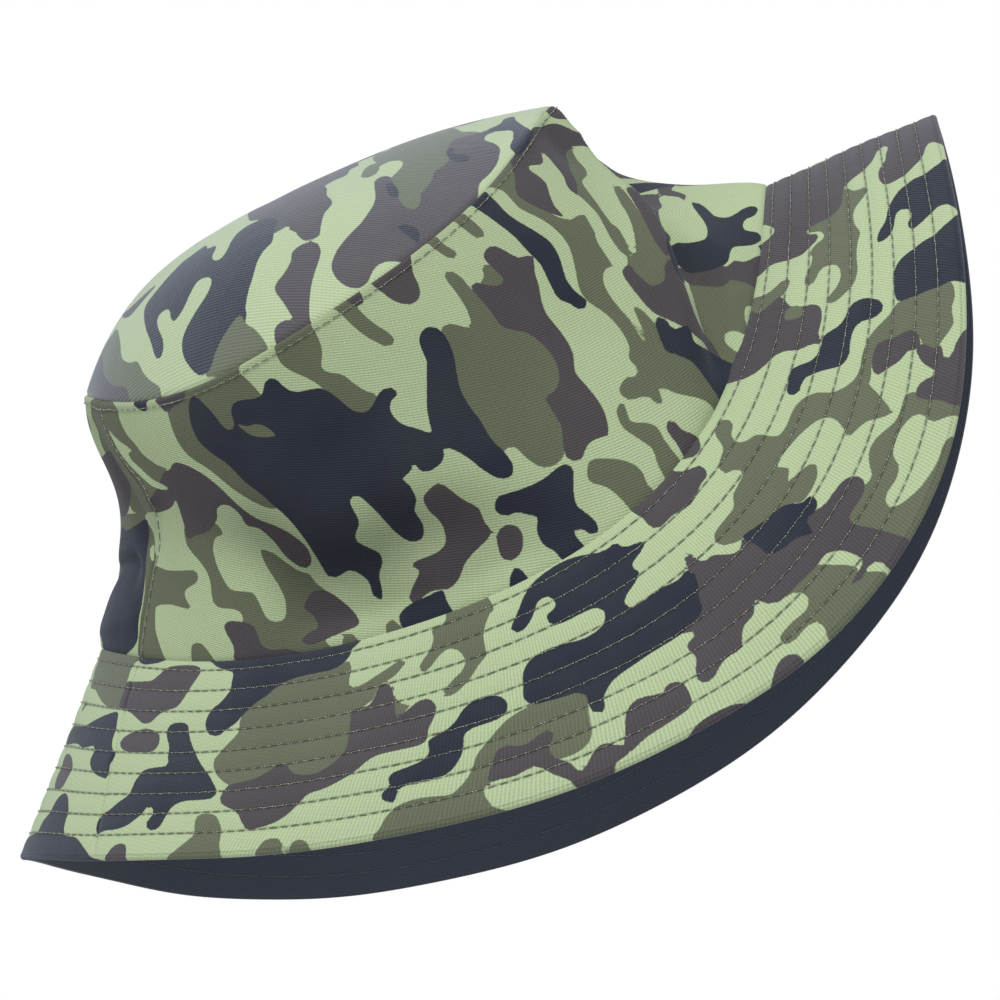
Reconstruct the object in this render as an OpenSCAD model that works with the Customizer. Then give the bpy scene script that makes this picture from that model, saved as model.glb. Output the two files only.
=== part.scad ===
// Soft bucket hat, sewn from a tip, two crown panels and two brim halves.
// Every cloth piece is doubled by a lining, and the brim has a stiff ply between.
// Millimetres, +Z up, front towards -Y, origin in the middle of the head opening.
// Angles go round the hat from +X, so the front lies at -90.

/* [Head opening] */
// Width of the head opening from side to side
head_w = 190; // [170:1:210]
// Depth of the head opening from front to back
head_d = 158; // [140:1:180]
// Rise of the head seam at the sides, equal to its dip at front and back
head_saddle = 25.5; // [0:0.5:30]
// Sideways lean of the head seam, higher towards +X
head_lean_x = -4.3; // [-10:0.1:10]
// Lean of the head seam, higher towards the back
head_lean_y = -3.1; // [-10:0.1:10]

/* [Crown] */
// Width of the tip piece from side to side
tip_w = 128; // [110:1:145]
// Depth of the tip piece from front to back
tip_d = 136; // [115:1:145]
// Mean height of the tip seam above the head opening
crown_h = 63.3; // [50:0.1:85]
// Sideways place of the tip over the head opening
tip_shift = 2; // [-8:0.5:8]
// Rise of the middle of the tip above its seam
tip_dome = 27.5; // [8:0.5:34]
// How much higher the tip puffs up on its -X side
dome_lean = 8; // [0:0.5:14]
// Rise of the tip seam at the sides, equal to its dip at front and back
tip_saddle = 11; // [0:0.5:15]
// Sideways lean of the tip seam, higher towards +X
tip_lean_x = -4.5; // [-10:0.1:10]
// Lean of the tip seam, higher towards the back
tip_lean_y = 1.5; // [-10:0.1:10]
// Outward swell of the crown wall at half height
crown_swell = 3; // [0:0.5:8]

/* [Slumped sides] */
// Depth of the fold pressed into the +X side of the crown
dent_depth = 24; // [0:1:28]
// Where the fold lies round the hat
dent_at = -4; // [-20:1:20]
// Spread of the fold round the hat
dent_spread = 19; // [14:1:30]
// Height of the ridge beside the fold
ridge_rise = 6; // [0:0.5:10]
// Where the ridge lies round the hat
ridge_at = -40; // [-60:1:-30]
// Spread of the ridge round the hat
ridge_spread = 14; // [10:1:25]
// Depth of the slack on the -X side of the crown
tuck_depth = 11; // [0:1:14]
// Where the slack lies round the hat
tuck_at = 184; // [160:1:210]
// Spread of the slack round the hat
tuck_spread = 42; // [25:1:50]

/* [Brim] */
// Level reach of the brim at the sides
brim_side = 47.5; // [35:0.5:60]
// Level reach of the brim at front and back
brim_front = 21; // [12:0.5:40]
// Mean drop of the brim edge below the head opening
brim_drop = 32.5; // [20:0.5:45]
// Rise of the brim edge at the sides, equal to its dip at front and back
edge_saddle = 39.4; // [10:0.1:45]
// Lean of the brim edge, higher towards the back
edge_lean_y = -6.6; // [-12:0.1:12]
// Sideways place of the brim edge
edge_shift = -1.5; // [-6:0.5:6]
// Turn of the raised sides round the hat
saddle_turn = 8.5; // [-20:0.5:20]

/* [Cloth] */
// Thickness of the outer cloth
outer_t = 0.6; // [0.4:0.05:1]
// Thickness of the lining
lining_t = 0.5; // [0.3:0.05:0.9]
// Thickness of the stiff ply in the brim
stiff_t = 0.5; // [0.3:0.05:0.9]
// Air between two plies
ply_gap = 0.1; // [0.05:0.05:0.2]
// Air between two pieces along a seam
seam_gap = 0.3; // [0.2:0.05:0.5]
// Distance of the stiff ply from the head seam and from the edge
stiff_in = 2.5; // [1.5:0.5:5]
// Where the side seams lie round the hat
seam_turn = 35; // [10:1:60]

/* [Stitching] */
// Thread diameter
thread_d = 0.5; // [0.3:0.05:0.8]
// Height of the thread's underside above the cloth
thread_seat = 0.2; // [0.15:0.05:0.4]
// Distance of the brim's first row from the head seam
head_row_in = 2.3; // [1.5:0.1:3.5]
// Distance of the tip topstitch from the tip seam
tip_row_in = 2.3; // [1.8:0.1:3.5]
// Distance of the side topstitch from the side seam
side_row_in = 1.6; // [1:0.1:3]

/* [Hidden] */

// Counts of the grid: steps round half the hat, down the crown, over the tip, across the brim
half_steps = 32;
wall_steps = 7;
tip_steps = 5;
round_steps = 2 * half_steps;
rows = 8;
thread_sides = 4;

// Small third and fourth waves of the three seams round the hat
head_wave_3 = 1.4;
head_wave_4 = 2.2;
tip_wave_3 = -1.6;
tip_wave_4 = 1.6;
edge_wave_3 = 8;
edge_wave_4 = 0.8;
// Third wave of the brim edge in the level plane, which draws out the corners
edge_pull = -6.5;
// Power of the tip's rounding: above 2 the middle is flatter and the rim steeper
dome_power = 2.5;
// Share of the crown height at which the fold and the slack are deepest, from the tip down
dent_low = 0.45;
tuck_low = 0.55;
// Power of their rounding: above 1 they run out softly at both seams
hollow_power = 1.5;
// Angle step and height step used to find a surface's direction
angle_step = 0.25;
share_step = 0.002;

// Seam lines
function seam_z(a, mean, lean_x, lean_y, saddle, wave_3, wave_4) =
    mean + lean_x * cos(a) + lean_y * sin(a) + saddle * cos(2 * (a - saddle_turn))
    + wave_3 * cos(3 * a) + wave_4 * cos(4 * a);
function tip_seam(a) = [
    tip_shift + tip_w / 2 * cos(a), tip_d / 2 * sin(a),
    seam_z(a, crown_h, tip_lean_x, tip_lean_y, tip_saddle, tip_wave_3, tip_wave_4)];
function head_seam(a) = [
    head_w / 2 * cos(a), head_d / 2 * sin(a),
    seam_z(a, 0, head_lean_x, head_lean_y, head_saddle, head_wave_3, head_wave_4)];
function brim_edge(a) = [
    edge_shift + (head_w / 2 + brim_side) * cos(a) + edge_pull * cos(3 * a),
    (head_d / 2 + brim_front) * sin(a),
    seam_z(a, -brim_drop, 0, edge_lean_y, edge_saddle, edge_wave_3, edge_wave_4)];

// Faces of the cloth: share 0 is the upper end of a piece, share 1 its lower end
function near_turn(a) = a - 360 * round(a / 360);
function bell(a, spread) = exp(-pow(near_turn(a) / spread, 2));
function hollow(t, low) = pow(max(sin(180 * pow(t, ln(0.5) / ln(low))), 0), hollow_power);
function wall_push(a, t) =
    4 * t * (1 - t) * (crown_swell + ridge_rise * bell(a - ridge_at, ridge_spread))
    - dent_depth * bell(a - dent_at, dent_spread) * hollow(t, dent_low)
    - tuck_depth * bell(a - tuck_at, tuck_spread) * hollow(t, tuck_low);
function wall_face(a, t) =
    (1 - t) * tip_seam(a) + t * head_seam(a) + wall_push(a, t) * [cos(a), sin(a), 0];
function brim_face(a, t) = (1 - t) * head_seam(a) + t * brim_edge(a);
function tip_face(a, t) = [
    tip_shift + t * tip_w / 2 * cos(a), t * tip_d / 2 * sin(a),
    crown_h + tip_dome * (1 - pow(t, dome_power)) - dome_lean * t * (1 - t * t) * cos(a)
    + t * (tip_lean_x * cos(a) + tip_lean_y * sin(a))
    + t * t * tip_saddle * cos(2 * (a - saddle_turn))
    + pow(t, 3) * tip_wave_3 * cos(3 * a) + pow(t, 4) * tip_wave_4 * cos(4 * a)];

// Point at a depth under a face, measured square to it
function unit(v) = v / norm(v);
function face_point(face, a, t) =
    face == "wall" ? wall_face(a, t) : face == "brim" ? brim_face(a, t) : tip_face(a, t);
function face_out(face, a, t) =
    let (
        high = min(t + share_step, 1),
        low = max(t - share_step, share_step / 2)
    )
    unit(cross(
        face_point(face, a, low) - face_point(face, a, high),
        face_point(face, a - angle_step, t) - face_point(face, a + angle_step, t)));
function under(face, a, t, depth) = face_point(face, a, t) - depth * face_out(face, a, t);

// Lengths of the crown wall and the brim at the front, which turn distances into shares
crown_slant = norm(tip_seam(-90) - head_seam(-90));
brim_slant = norm(head_seam(-90) - brim_edge(-90));
// Depths of the plies
lining_top = outer_t + ply_gap;
lining_under = lining_top + lining_t;
stiff_top = outer_t + ply_gap;
brim_lining_top = stiff_top + stiff_t + ply_gap;
brim_lining_under = brim_lining_top + lining_t;
// Shares where the pieces begin and end
wall_first = (outer_t + seam_gap) / crown_slant;
wall_last = 1 - seam_gap / 2 / crown_slant;
tip_lining_last = 1 - (lining_under + seam_gap) / (min(tip_w, tip_d) / 2);
brim_first = seam_gap / 2 / brim_slant;
stiff_first = stiff_in / brim_slant;
stiff_last = 1 - stiff_in / brim_slant;
// Half the gap of a side seam as an angle, at the narrow end of the crown
seam_turn_gap = atan(seam_gap / min(tip_w, tip_d));
// Shares of the stitch rows: the first near the head seam, the rest evenly on to the edge
head_row = head_row_in / brim_slant;
tip_row = tip_row_in / crown_slant;
function row_share(i) = head_row + i * (1 - head_row) / (rows + 1);

// Shares down a panel: one station at the topstitch, the rest even
function wall_shares() = concat(
    [wall_first, tip_row],
    [for (i = [1 : wall_steps - 1]) tip_row + (wall_last - tip_row) * i / (wall_steps - 1)]);
// Shares across the brim: a station at every second stitch row
function brim_shares(first, last) = concat(
    [first], [for (i = [1 : 2 : rows - 1]) row_share(i)], [last]);
// Angles of the front half, from the left seam to the right one, and of the back half
function half_angles(from) = [for (j = [0 : half_steps])
    from + seam_turn_gap + (180 - 2 * seam_turn_gap) * j / half_steps];
front_from = seam_turn - 180;
back_from = seam_turn;

// Rows of points of one face at one depth
function sheet_rows(face, shares, angles, depth) =
    [for (t = shares) [for (a = angles) under(face, a, t, depth)]];
function flat_list(lists) = [for (l = lists) each l];

// Cloth between an outer and an inner sheet of points, open at all four sides
module cloth(face, shares, angles, depth, thick) {
    n = len(angles);
    m = len(shares);
    points = concat(
        flat_list(sheet_rows(face, shares, angles, depth)),
        flat_list(sheet_rows(face, shares, angles, depth + thick)));
    in = m * n;
    last = (m - 1) * n;
    faces = concat(
        [for (i = [0 : m - 2], j = [0 : n - 2]) let (o = i * n + j) each [
            [o, o + 1, o + n], [o + 1, o + n + 1, o + n],
            [in + o, in + o + n, in + o + 1], [in + o + 1, in + o + n, in + o + n + 1]]],
        [for (j = [0 : n - 2]) each [
            [j + 1, j, in + j], [j + 1, in + j, in + j + 1],
            [last + j, last + j + 1, in + last + j + 1],
            [last + j, in + last + j + 1, in + last + j]]],
        [for (i = [0 : m - 2]) let (o = i * n, e = i * n + n - 1) each [
            [o, o + n, in + o + n], [o, in + o + n, in + o],
            [e + n, e, in + e], [e + n, in + e, in + e + n]]]);
    polyhedron(points, faces);
}

// Round cloth of the tip between two depths
module round_cloth(last_share, depth, thick) {
    n = round_steps;
    m = tip_steps;
    angles = [for (j = [0 : n - 1]) seam_turn + 360 * j / n];
    shares = [for (i = [1 : m]) last_share * i / m];
    centre = tip_face(0, 0);
    points = concat(
        [centre - [0, 0, depth], centre - [0, 0, depth + thick]],
        flat_list(sheet_rows("tip", shares, angles, depth)),
        flat_list(sheet_rows("tip", shares, angles, depth + thick)));
    in = m * n;
    rim = 2 + (m - 1) * n;
    faces = concat(
        [for (j = [0 : n - 1]) let (k = (j + 1) % n) each [
            [0, 2 + k, 2 + j], [1, in + 2 + j, in + 2 + k],
            [rim + j, rim + k, in + rim + k], [rim + j, in + rim + k, in + rim + j]]],
        [for (i = [0 : m - 2], j = [0 : n - 1])
            let (o = 2 + i * n + j, k = 2 + i * n + (j + 1) % n) each [
            [o, k, o + n], [k, k + n, o + n],
            [in + o, in + o + n, in + k], [in + k, in + o + n, in + k + n]]]);
    polyhedron(points, faces);
}

// Thread that follows stations [face, angle, share] on the cloth, closed into a ring or open
module thread(stations, closed) {
    n = len(stations);
    s = thread_sides;
    lift = thread_seat + thread_d / 2;
    mid = [for (p = stations) under(p[0], p[1], p[2], -lift)];
    points = [for (j = [0 : n - 1])
        let (
            p = stations[j],
            up = face_out(p[0], p[1], p[2]),
            next = closed ? (j + 1) % n : min(j + 1, n - 1),
            prev = closed ? (j + n - 1) % n : max(j - 1, 0),
            side = unit(cross(up, mid[next] - mid[prev]))
        )
        for (k = [0 : s - 1])
            mid[j] + thread_d / 2 * (up * cos(360 * k / s) + side * sin(360 * k / s))];
    spans = closed ? n : n - 1;
    faces = concat(
        [for (j = [0 : spans - 1], k = [0 : s - 1])
            let (
                a = j * s + k,
                b = j * s + (k + 1) % s,
                c = ((j + 1) % n) * s + k,
                d = ((j + 1) % n) * s + (k + 1) % s
            )
            each [[a, b, c], [b, d, c]]],
        closed ? [] : [for (k = [1 : s - 2]) each [
            [0, k + 1, k], [(n - 1) * s, (n - 1) * s + k, (n - 1) * s + k + 1]]]);
    polyhedron(points, faces);
}

function ring_stations(face, share) =
    [for (j = [0 : round_steps - 1]) [face, seam_turn + 360 * j / round_steps, share]];
function side_stations(from) = [for (t = wall_shares())
    ["wall", from + atan(side_row_in / norm([head_w, head_d]) * 2 * sqrt(2)), t]];

// Sewn pieces
outer_colour = [0.52, 0.6, 0.38];
lining_colour = [0.16, 0.18, 0.23];
stiff_colour = [0.9, 0.9, 0.87];
thread_colour = [0.36, 0.38, 0.28];

module outer_tip() color(outer_colour) round_cloth(1, 0, outer_t);
module lining_tip() color(lining_colour) round_cloth(tip_lining_last, lining_top, lining_t);

module panel(from, depth, thick) cloth("wall", wall_shares(), half_angles(from), depth, thick);
module outer_front_panel() color(outer_colour) panel(front_from, 0, outer_t);
module outer_back_panel() color(outer_colour) panel(back_from, 0, outer_t);
module lining_front_panel() color(lining_colour) panel(front_from, lining_top, lining_t);
module lining_back_panel() color(lining_colour) panel(back_from, lining_top, lining_t);

module brim_ply(from, first, last, depth, thick)
    cloth("brim", brim_shares(first, last), half_angles(from), depth, thick);
module outer_brim_front() color(outer_colour) brim_ply(front_from, brim_first, 1, 0, outer_t);
module outer_brim_back() color(outer_colour) brim_ply(back_from, brim_first, 1, 0, outer_t);
module lining_brim_front() color(lining_colour)
    brim_ply(front_from, brim_first, 1, brim_lining_top, lining_t);
module lining_brim_back() color(lining_colour)
    brim_ply(back_from, brim_first, 1, brim_lining_top, lining_t);
module brim_stiffener_front() color(stiff_colour)
    brim_ply(front_from, stiff_first, stiff_last, stiff_top, stiff_t);
module brim_stiffener_back() color(stiff_colour)
    brim_ply(back_from, stiff_first, stiff_last, stiff_top, stiff_t);

module tip_topstitch() color(thread_colour) thread(ring_stations("wall", tip_row), true);
module side_topstitch_left() color(thread_colour) thread(side_stations(front_from), false);
module side_topstitch_right() color(thread_colour) thread(side_stations(back_from), false);
module head_seam_topstitch() color(thread_colour) thread(ring_stations("brim", head_row), true);
module brim_row(i) color(thread_colour) thread(ring_stations("brim", row_share(i)), true);
module brim_row_1() brim_row(1);
module brim_row_2() brim_row(2);
module brim_row_3() brim_row(3);
module brim_row_4() brim_row(4);
module brim_row_5() brim_row(5);
module brim_row_6() brim_row(6);
module brim_row_7() brim_row(7);
module brim_row_8() brim_row(8);

outer_tip();
outer_front_panel();
outer_back_panel();
outer_brim_front();
outer_brim_back();
lining_tip();
lining_front_panel();
lining_back_panel();
lining_brim_front();
lining_brim_back();
brim_stiffener_front();
brim_stiffener_back();
tip_topstitch();
side_topstitch_left();
side_topstitch_right();
head_seam_topstitch();
brim_row_1();
brim_row_2();
brim_row_3();
brim_row_4();
brim_row_5();
brim_row_6();
brim_row_7();
brim_row_8();
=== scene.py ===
import math

import bmesh
import bpy
import numpy as np
from mathutils import Matrix, Vector


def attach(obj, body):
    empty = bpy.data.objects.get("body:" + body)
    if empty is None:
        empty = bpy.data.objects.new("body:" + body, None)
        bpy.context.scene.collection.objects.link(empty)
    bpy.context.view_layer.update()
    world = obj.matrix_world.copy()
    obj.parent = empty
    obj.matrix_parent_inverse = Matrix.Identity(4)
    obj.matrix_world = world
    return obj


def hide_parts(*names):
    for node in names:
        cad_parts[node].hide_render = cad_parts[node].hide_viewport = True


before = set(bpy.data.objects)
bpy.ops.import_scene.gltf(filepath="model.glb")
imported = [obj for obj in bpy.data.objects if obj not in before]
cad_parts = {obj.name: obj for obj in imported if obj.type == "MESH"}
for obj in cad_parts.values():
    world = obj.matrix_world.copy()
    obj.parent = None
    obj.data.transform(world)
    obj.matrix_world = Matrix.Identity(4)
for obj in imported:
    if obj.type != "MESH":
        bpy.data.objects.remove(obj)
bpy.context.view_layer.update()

# Lengths are in millimetres until a mesh is made; angles go round the hat from +X, front at -90
MM = 0.001
BODY = "root"
FRONT = -90
QUARTER_TURN = 90
HALF_TURN = 180
FULL_TURN = 360
FAR = 1e3
TINY = 1e-12
# Flat cloth in mm that one degree round the hat stands for
WALL_TURN_MM = 1.4
BRIM_TURN_MM = 1.9

# Seams and edge of the hat, as in the part's source


class SeamLine:
    """A closed line round the hat: an oval seen from above, with a waving height."""

    def __init__(self, half_w, half_d, shift, mean, lean_x, lean_y, saddle, wave_3, wave_4, pull=0):
        self.half_w = half_w
        self.half_d = half_d
        self.shift = shift
        self.mean = mean
        self.lean_x = lean_x
        self.lean_y = lean_y
        self.saddle = saddle
        self.wave_3 = wave_3
        self.wave_4 = wave_4
        self.pull = pull

    def height(self, angle, share=1):
        """Height of the line, or of a disc inside it at a share of its radius."""
        lean = self.lean_x * cos(angle) + self.lean_y * sin(angle)
        saddle = self.saddle * cos(2 * (angle - SADDLE_TURN))
        waves = share**3 * self.wave_3 * cos(3 * angle) + share**4 * self.wave_4 * cos(4 * angle)
        return self.mean + share * lean + share**2 * saddle + waves

    def at(self, angle):
        x = self.shift + self.half_w * cos(angle) + self.pull * cos(3 * angle)
        return np.stack([x, self.half_d * sin(angle), self.height(angle)], -1)


def cos(angle):
    return np.cos(np.radians(angle))


def sin(angle):
    return np.sin(np.radians(angle))


SADDLE_TURN = 8.5
HEAD_SEAM = SeamLine(
    half_w=95, half_d=79, shift=0, mean=0, lean_x=-4.3, lean_y=-3.1, saddle=25.5, wave_3=1.4, wave_4=2.2)
TIP_SEAM = SeamLine(
    half_w=64, half_d=68, shift=2, mean=63.3, lean_x=-4.5, lean_y=1.5, saddle=11, wave_3=-1.6, wave_4=1.6)
BRIM_EDGE = SeamLine(
    half_w=142.5, half_d=100, shift=-1.5, mean=-32.5, lean_x=0, lean_y=-6.6, saddle=39.4,
    wave_3=8, wave_4=0.8, pull=-6.5)
TIP_DOME = 27.5
DOME_LEAN = 8
DOME_POWER = 2.5
CROWN_SWELL = 3
DENT = {"depth": 24, "at": -4, "spread": 19, "low": 0.45}
TUCK = {"depth": 11, "at": 184, "spread": 42, "low": 0.55}
RIDGE = {"rise": 6, "at": -40, "spread": 14}
HOLLOW_POWER = 1.5
FADE_POWER = 0.5
OUTER_T = 0.6
LINING_T = 0.5
STIFF_T = 0.5
PLY_GAP = 0.1
LINING_TOP = OUTER_T + PLY_GAP
BRIM_LINING_TOP = LINING_TOP + STIFF_T + PLY_GAP
BRIM_T = BRIM_LINING_TOP + LINING_T
CROWN_SLANT = 75
BRIM_SLANT = 50
ROWS = 8
ROW_FROM_SEAM = 2.3
HEAD_ROW = ROW_FROM_SEAM / BRIM_SLANT
ROW_STEP = (1 - HEAD_ROW) / (ROWS + 1)
TIP_ROW = ROW_FROM_SEAM / CROWN_SLANT

# Soft folds of the crown wall: half width in mm, then points of angle, share and height in mm
CREASES = [
    (4, [(-150, 0.02, 1.6), (-137, 0.36, 1.6)]),
    (5, [(-158, 0.15, -2.0), (-143, 0.55, -2.0)]),
    (3.5, [(-170, 0.78, -2.6), (-150, 0.70, -2.6)]),
    (3.5, [(-165, 0.92, 1.6), (-148, 0.86, 1.6)]),
    (11, [(-118, 0.30, -1.0), (-104, 0.85, -1.0)]),
    (3.5, [(-112, 0.92, -1.3), (-84, 0.93, -1.3)]),
    (11, [(-124, 0.56, -0.8), (-109, 0.78, -1.6), (-94, 0.78, -1.6), (-84, 0.84, -0.8)]),
    (12, [(-70, 0.20, 0.9), (-62, 0.80, 0.9)]),
    (5.8, [(-9, 0.04, 9), (-14, 0.18, 11), (-19, 0.28, 8), (-25, 0.36, 5), (-31, 0.47, 4.2),
           (-42, 0.63, 3.5), (-46, 0.80, 3.5), (-50, 0.95, 3.5)]),
    (6, [(-17, 0.42, -8.5), (-31, 0.63, -8.5), (-36, 0.80, -8.5), (-42, 0.95, -8.5)]),
    (16, [(14, 0.15, -4.0), (24, 0.45, -4.0)]),
    (12, [(60, 0.15, -1.5), (75, 0.80, -1.5)]),
    (12, [(120, 0.25, 1.2), (105, 0.85, 1.2)]),
]
# Painted shade low on the front of the wall, written the same way: the third number is how much darker the
# colour is made
PAINTED_SHADES = [
    (10, [(-124, 0.42, 0.15), (-115.5, 0.54, 0.45), (-109, 0.70, 0.58), (-102, 0.74, 0.60), (-94, 0.70, 0.54),
          (-87, 0.73, 0.44), (-79, 0.86, 0.28)]),
    (8, [(-113, 0.84, 0.24), (-102, 0.90, 0.30), (-92, 0.94, 0.26)]),
]
# Slow ripples of the cloth: waves in each, their steepest climb, and the height on each part in mm
RIPPLE_WAVES = 5
RIPPLE_CLIMB = 2.5
WALL_RIPPLE = 0.5
BRIM_RIPPLE = 0.7
TIP_RIPPLE = 0.8


def nearest_turn(turn):
    """The same turn between -180 and 180."""
    return (turn + HALF_TURN) % FULL_TURN - HALF_TURN


def bell(turn, spread):
    return np.exp(-((nearest_turn(turn) / spread) ** 2))


def hollow(share, low):
    """0 at both seams and 1 at the share called low."""
    power = math.log(0.5) / math.log(low)
    return np.clip(np.sin(np.pi * np.clip(share, 0, 1) ** power), 0, 1) ** HOLLOW_POWER


def to_line(points, start, end):
    """How far along a straight line each flat point lies, from 0 to 1, and its distance from the line."""
    run = end - start
    along = np.clip(((points - start) @ run) / (run @ run + TINY), 0, 1)
    return along, np.linalg.norm(points - start - along[..., None] * run, axis=-1)


def soft_lines(lines, angle, share):
    """Sum of all soft lines at a point of the crown wall: the height of folds, or the depth of painted shade.
    """
    total = np.zeros(np.shape(angle))
    flat_size = np.array([WALL_TURN_MM, CROWN_SLANT])
    fade = np.sin(np.pi * np.clip(share, 0, 1)) ** FADE_POWER
    for half_width, line in lines:
        near = nearest_turn(angle - line[0][0]) + line[0][0]
        points = np.stack([near, share], -1) * flat_size
        gap = np.full(np.shape(angle), FAR)
        height = np.zeros(np.shape(angle))
        for start, end in zip(line[:-1], line[1:]):
            along, part = to_line(points, start[:2] * flat_size, end[:2] * flat_size)
            height = np.where(part < gap, start[2] + along * (end[2] - start[2]), height)
            gap = np.minimum(gap, part)
        total = total + height * fade * np.exp(-((gap / half_width) ** 2))
    return total


def slow_ripple(angle, share, seed, turn_limit=6):
    """Smooth uneven height between about -1 and 1, closed round the hat."""
    pick = np.random.default_rng(seed)
    total = np.zeros(np.broadcast(angle, share).shape)
    for i in range(RIPPLE_WAVES):
        turns = pick.integers(2, turn_limit + 2 * i)
        climb = pick.uniform(-RIPPLE_CLIMB, RIPPLE_CLIMB)
        phase = pick.uniform(0, FULL_TURN)
        total = total + cos(turns * angle + HALF_TURN * climb * share + phase)
    return total / RIPPLE_WAVES


def wall_face(angle, share):
    out = np.stack([cos(angle), sin(angle), 0 * angle], -1)
    bow = 4 * share * (1 - share)
    push = bow * (CROWN_SWELL + RIDGE["rise"] * bell(angle - RIDGE["at"], RIDGE["spread"]))
    for fold in (DENT, TUCK):
        push = push - fold["depth"] * bell(angle - fold["at"], fold["spread"]) * hollow(share, fold["low"])
    push = push + soft_lines(CREASES, angle, share) + WALL_RIPPLE * bow * slow_ripple(angle, share, seed=3)
    keep = (1 - share)[..., None]
    return keep * TIP_SEAM.at(angle) + (1 - keep) * HEAD_SEAM.at(angle) + push[..., None] * out


def brim_face(angle, share):
    flat = (1 - share)[..., None] * HEAD_SEAM.at(angle) + share[..., None] * BRIM_EDGE.at(angle)
    wave = BRIM_RIPPLE * share * slow_ripple(angle, share, seed=8, turn_limit=9)
    return flat + wave[..., None] * np.array([0, 0, 1])


def tip_face(angle, share):
    x = TIP_SEAM.shift + share * TIP_SEAM.half_w * cos(angle)
    y = share * TIP_SEAM.half_d * sin(angle)
    dome = TIP_DOME * (1 - share**DOME_POWER) - DOME_LEAN * share * (1 - share**2) * cos(angle)
    ripple = TIP_RIPPLE * share * (1 - share) * slow_ripple(angle, share, seed=5)
    return np.stack([x, y, TIP_SEAM.height(angle, share) + dome + ripple], -1)


def square_out(face, angle, share):
    """Direction square to a face, away from the head."""
    turn = 0.25
    step = 0.002
    share = np.maximum(share, 2 * step)
    down = face(angle, share - step) - face(angle, share + step)
    round_hat = face(angle - turn, share) - face(angle + turn, share)
    out = np.cross(down, round_hat)
    return out / np.linalg.norm(out, axis=-1, keepdims=True)


def layer(face, angle, share, height):
    """Points of a face, raised square to it."""
    raised = np.broadcast_to(height, angle.shape)[..., None]
    return face(angle, share) + square_out(face, angle, share) * raised


# Side seams: where the front and back pieces meet, as an angle for each share of the height

LEFT_SEAM = [(0, -151), (0.1, -149), (0.34, -137), (0.55, -139.5), (0.7, -143), (1, -146.5)]
BRIM_SEAM_TURN = 12
RIGHT_SEAM = 35
SEAM_STEPS = 101
SEAM_BLUR = 19


def left_wall_seam(share):
    """Soft curve through the chosen angles."""
    fine = np.linspace(0, 1, SEAM_STEPS)
    line = np.interp(fine, *zip(*LEFT_SEAM))
    blur = np.hanning(SEAM_BLUR)
    soft = np.convolve(np.pad(line, SEAM_BLUR // 2, mode="edge"), blur / blur.sum(), "valid")
    return np.interp(share, fine, soft)


def left_brim_seam(share):
    return LEFT_SEAM[-1][1] + BRIM_SEAM_TURN * share


def right_seam(share):
    return RIGHT_SEAM + 0 * share


# Camouflage print in flat mm: a shape is a soft closed outline, or a stroke with a half width at each point

PRINT_REACH = 3.0
PRINT_MARGIN = 1
STROKE_BLEND = 0.8
SHAPE_BLEND = 0.4
RING_CUTS = 5
RING_PULL = 0.45


def soft_min(a, b, blend):
    mix = np.clip(0.5 + 0.5 * (b - a) / blend, 0, 1)
    return b + (a - b) * mix - blend * mix * (1 - mix)


def stroke_gap(points, stroke):
    """Signed gap from flat points to a round-ended line of changing half width: below 0 is inside."""
    nodes = np.array(stroke, float)
    gap = np.full(len(points), FAR)
    for start, end in zip(nodes[:-1], nodes[1:]):
        along, part = to_line(points, start[:2], end[:2])
        gap = soft_min(gap, part - start[2] - along * (end[2] - start[2]), STROKE_BLEND)
    return gap


def smooth_ring(corners):
    """Closed soft curve through the corners of an outline."""
    ring = np.array(corners, float)
    before = np.roll(ring, 1, 0)
    after = np.roll(ring, -1, 0)
    beyond = np.roll(ring, -2, 0)
    curve = []
    for step in np.arange(RING_CUTS) / RING_CUTS:
        start = 2 * step**3 - 3 * step**2 + 1
        leave = step**3 - 2 * step**2 + step
        arrive = step**3 - step**2
        bend = leave * (after - before) + arrive * (beyond - ring)
        curve.append(start * ring + (1 - start) * after + RING_PULL * bend)
    return np.stack(curve, 1).reshape(-1, 2)


def outline_gap(points, corners):
    """Signed gap from flat points to a soft closed outline: below 0 is inside."""
    ring = smooth_ring(corners)
    gap = np.full(len(points), FAR)
    inside = np.zeros(len(points), bool)
    for start, end in zip(ring, np.roll(ring, -1, 0)):
        gap = np.minimum(gap, to_line(points, start, end)[1])
        spans = (start[1] > points[:, 1]) != (end[1] > points[:, 1])
        run = end - start
        cross = start[0] + run[0] * (points[:, 1] - start[1]) / (run[1] + TINY)
        inside ^= spans & (points[:, 0] < cross)
    return np.where(inside, -gap, gap)


def print_gap(points, shapes):
    """Signed gap to the union of all shapes of one colour, up to a short reach."""
    flat = points.reshape(-1, 2)
    gap = np.full(len(flat), PRINT_REACH)
    for shape in shapes:
        nodes = np.array(shape, float)
        is_stroke = nodes.shape[1] == 3
        wide = PRINT_REACH + PRINT_MARGIN + (nodes[:, 2].max() if is_stroke else 0)
        low = nodes[:, :2].min(0) - wide
        high = nodes[:, :2].max(0) + wide
        near = np.flatnonzero(((flat > low) & (flat < high)).all(-1))
        if len(near):
            shape_gap = stroke_gap if is_stroke else outline_gap
            gap[near] = soft_min(gap[near], shape_gap(flat[near], shape), SHAPE_BLEND)
    return np.clip(gap, -PRINT_REACH, PRINT_REACH).reshape(points.shape[:-1])


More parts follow.
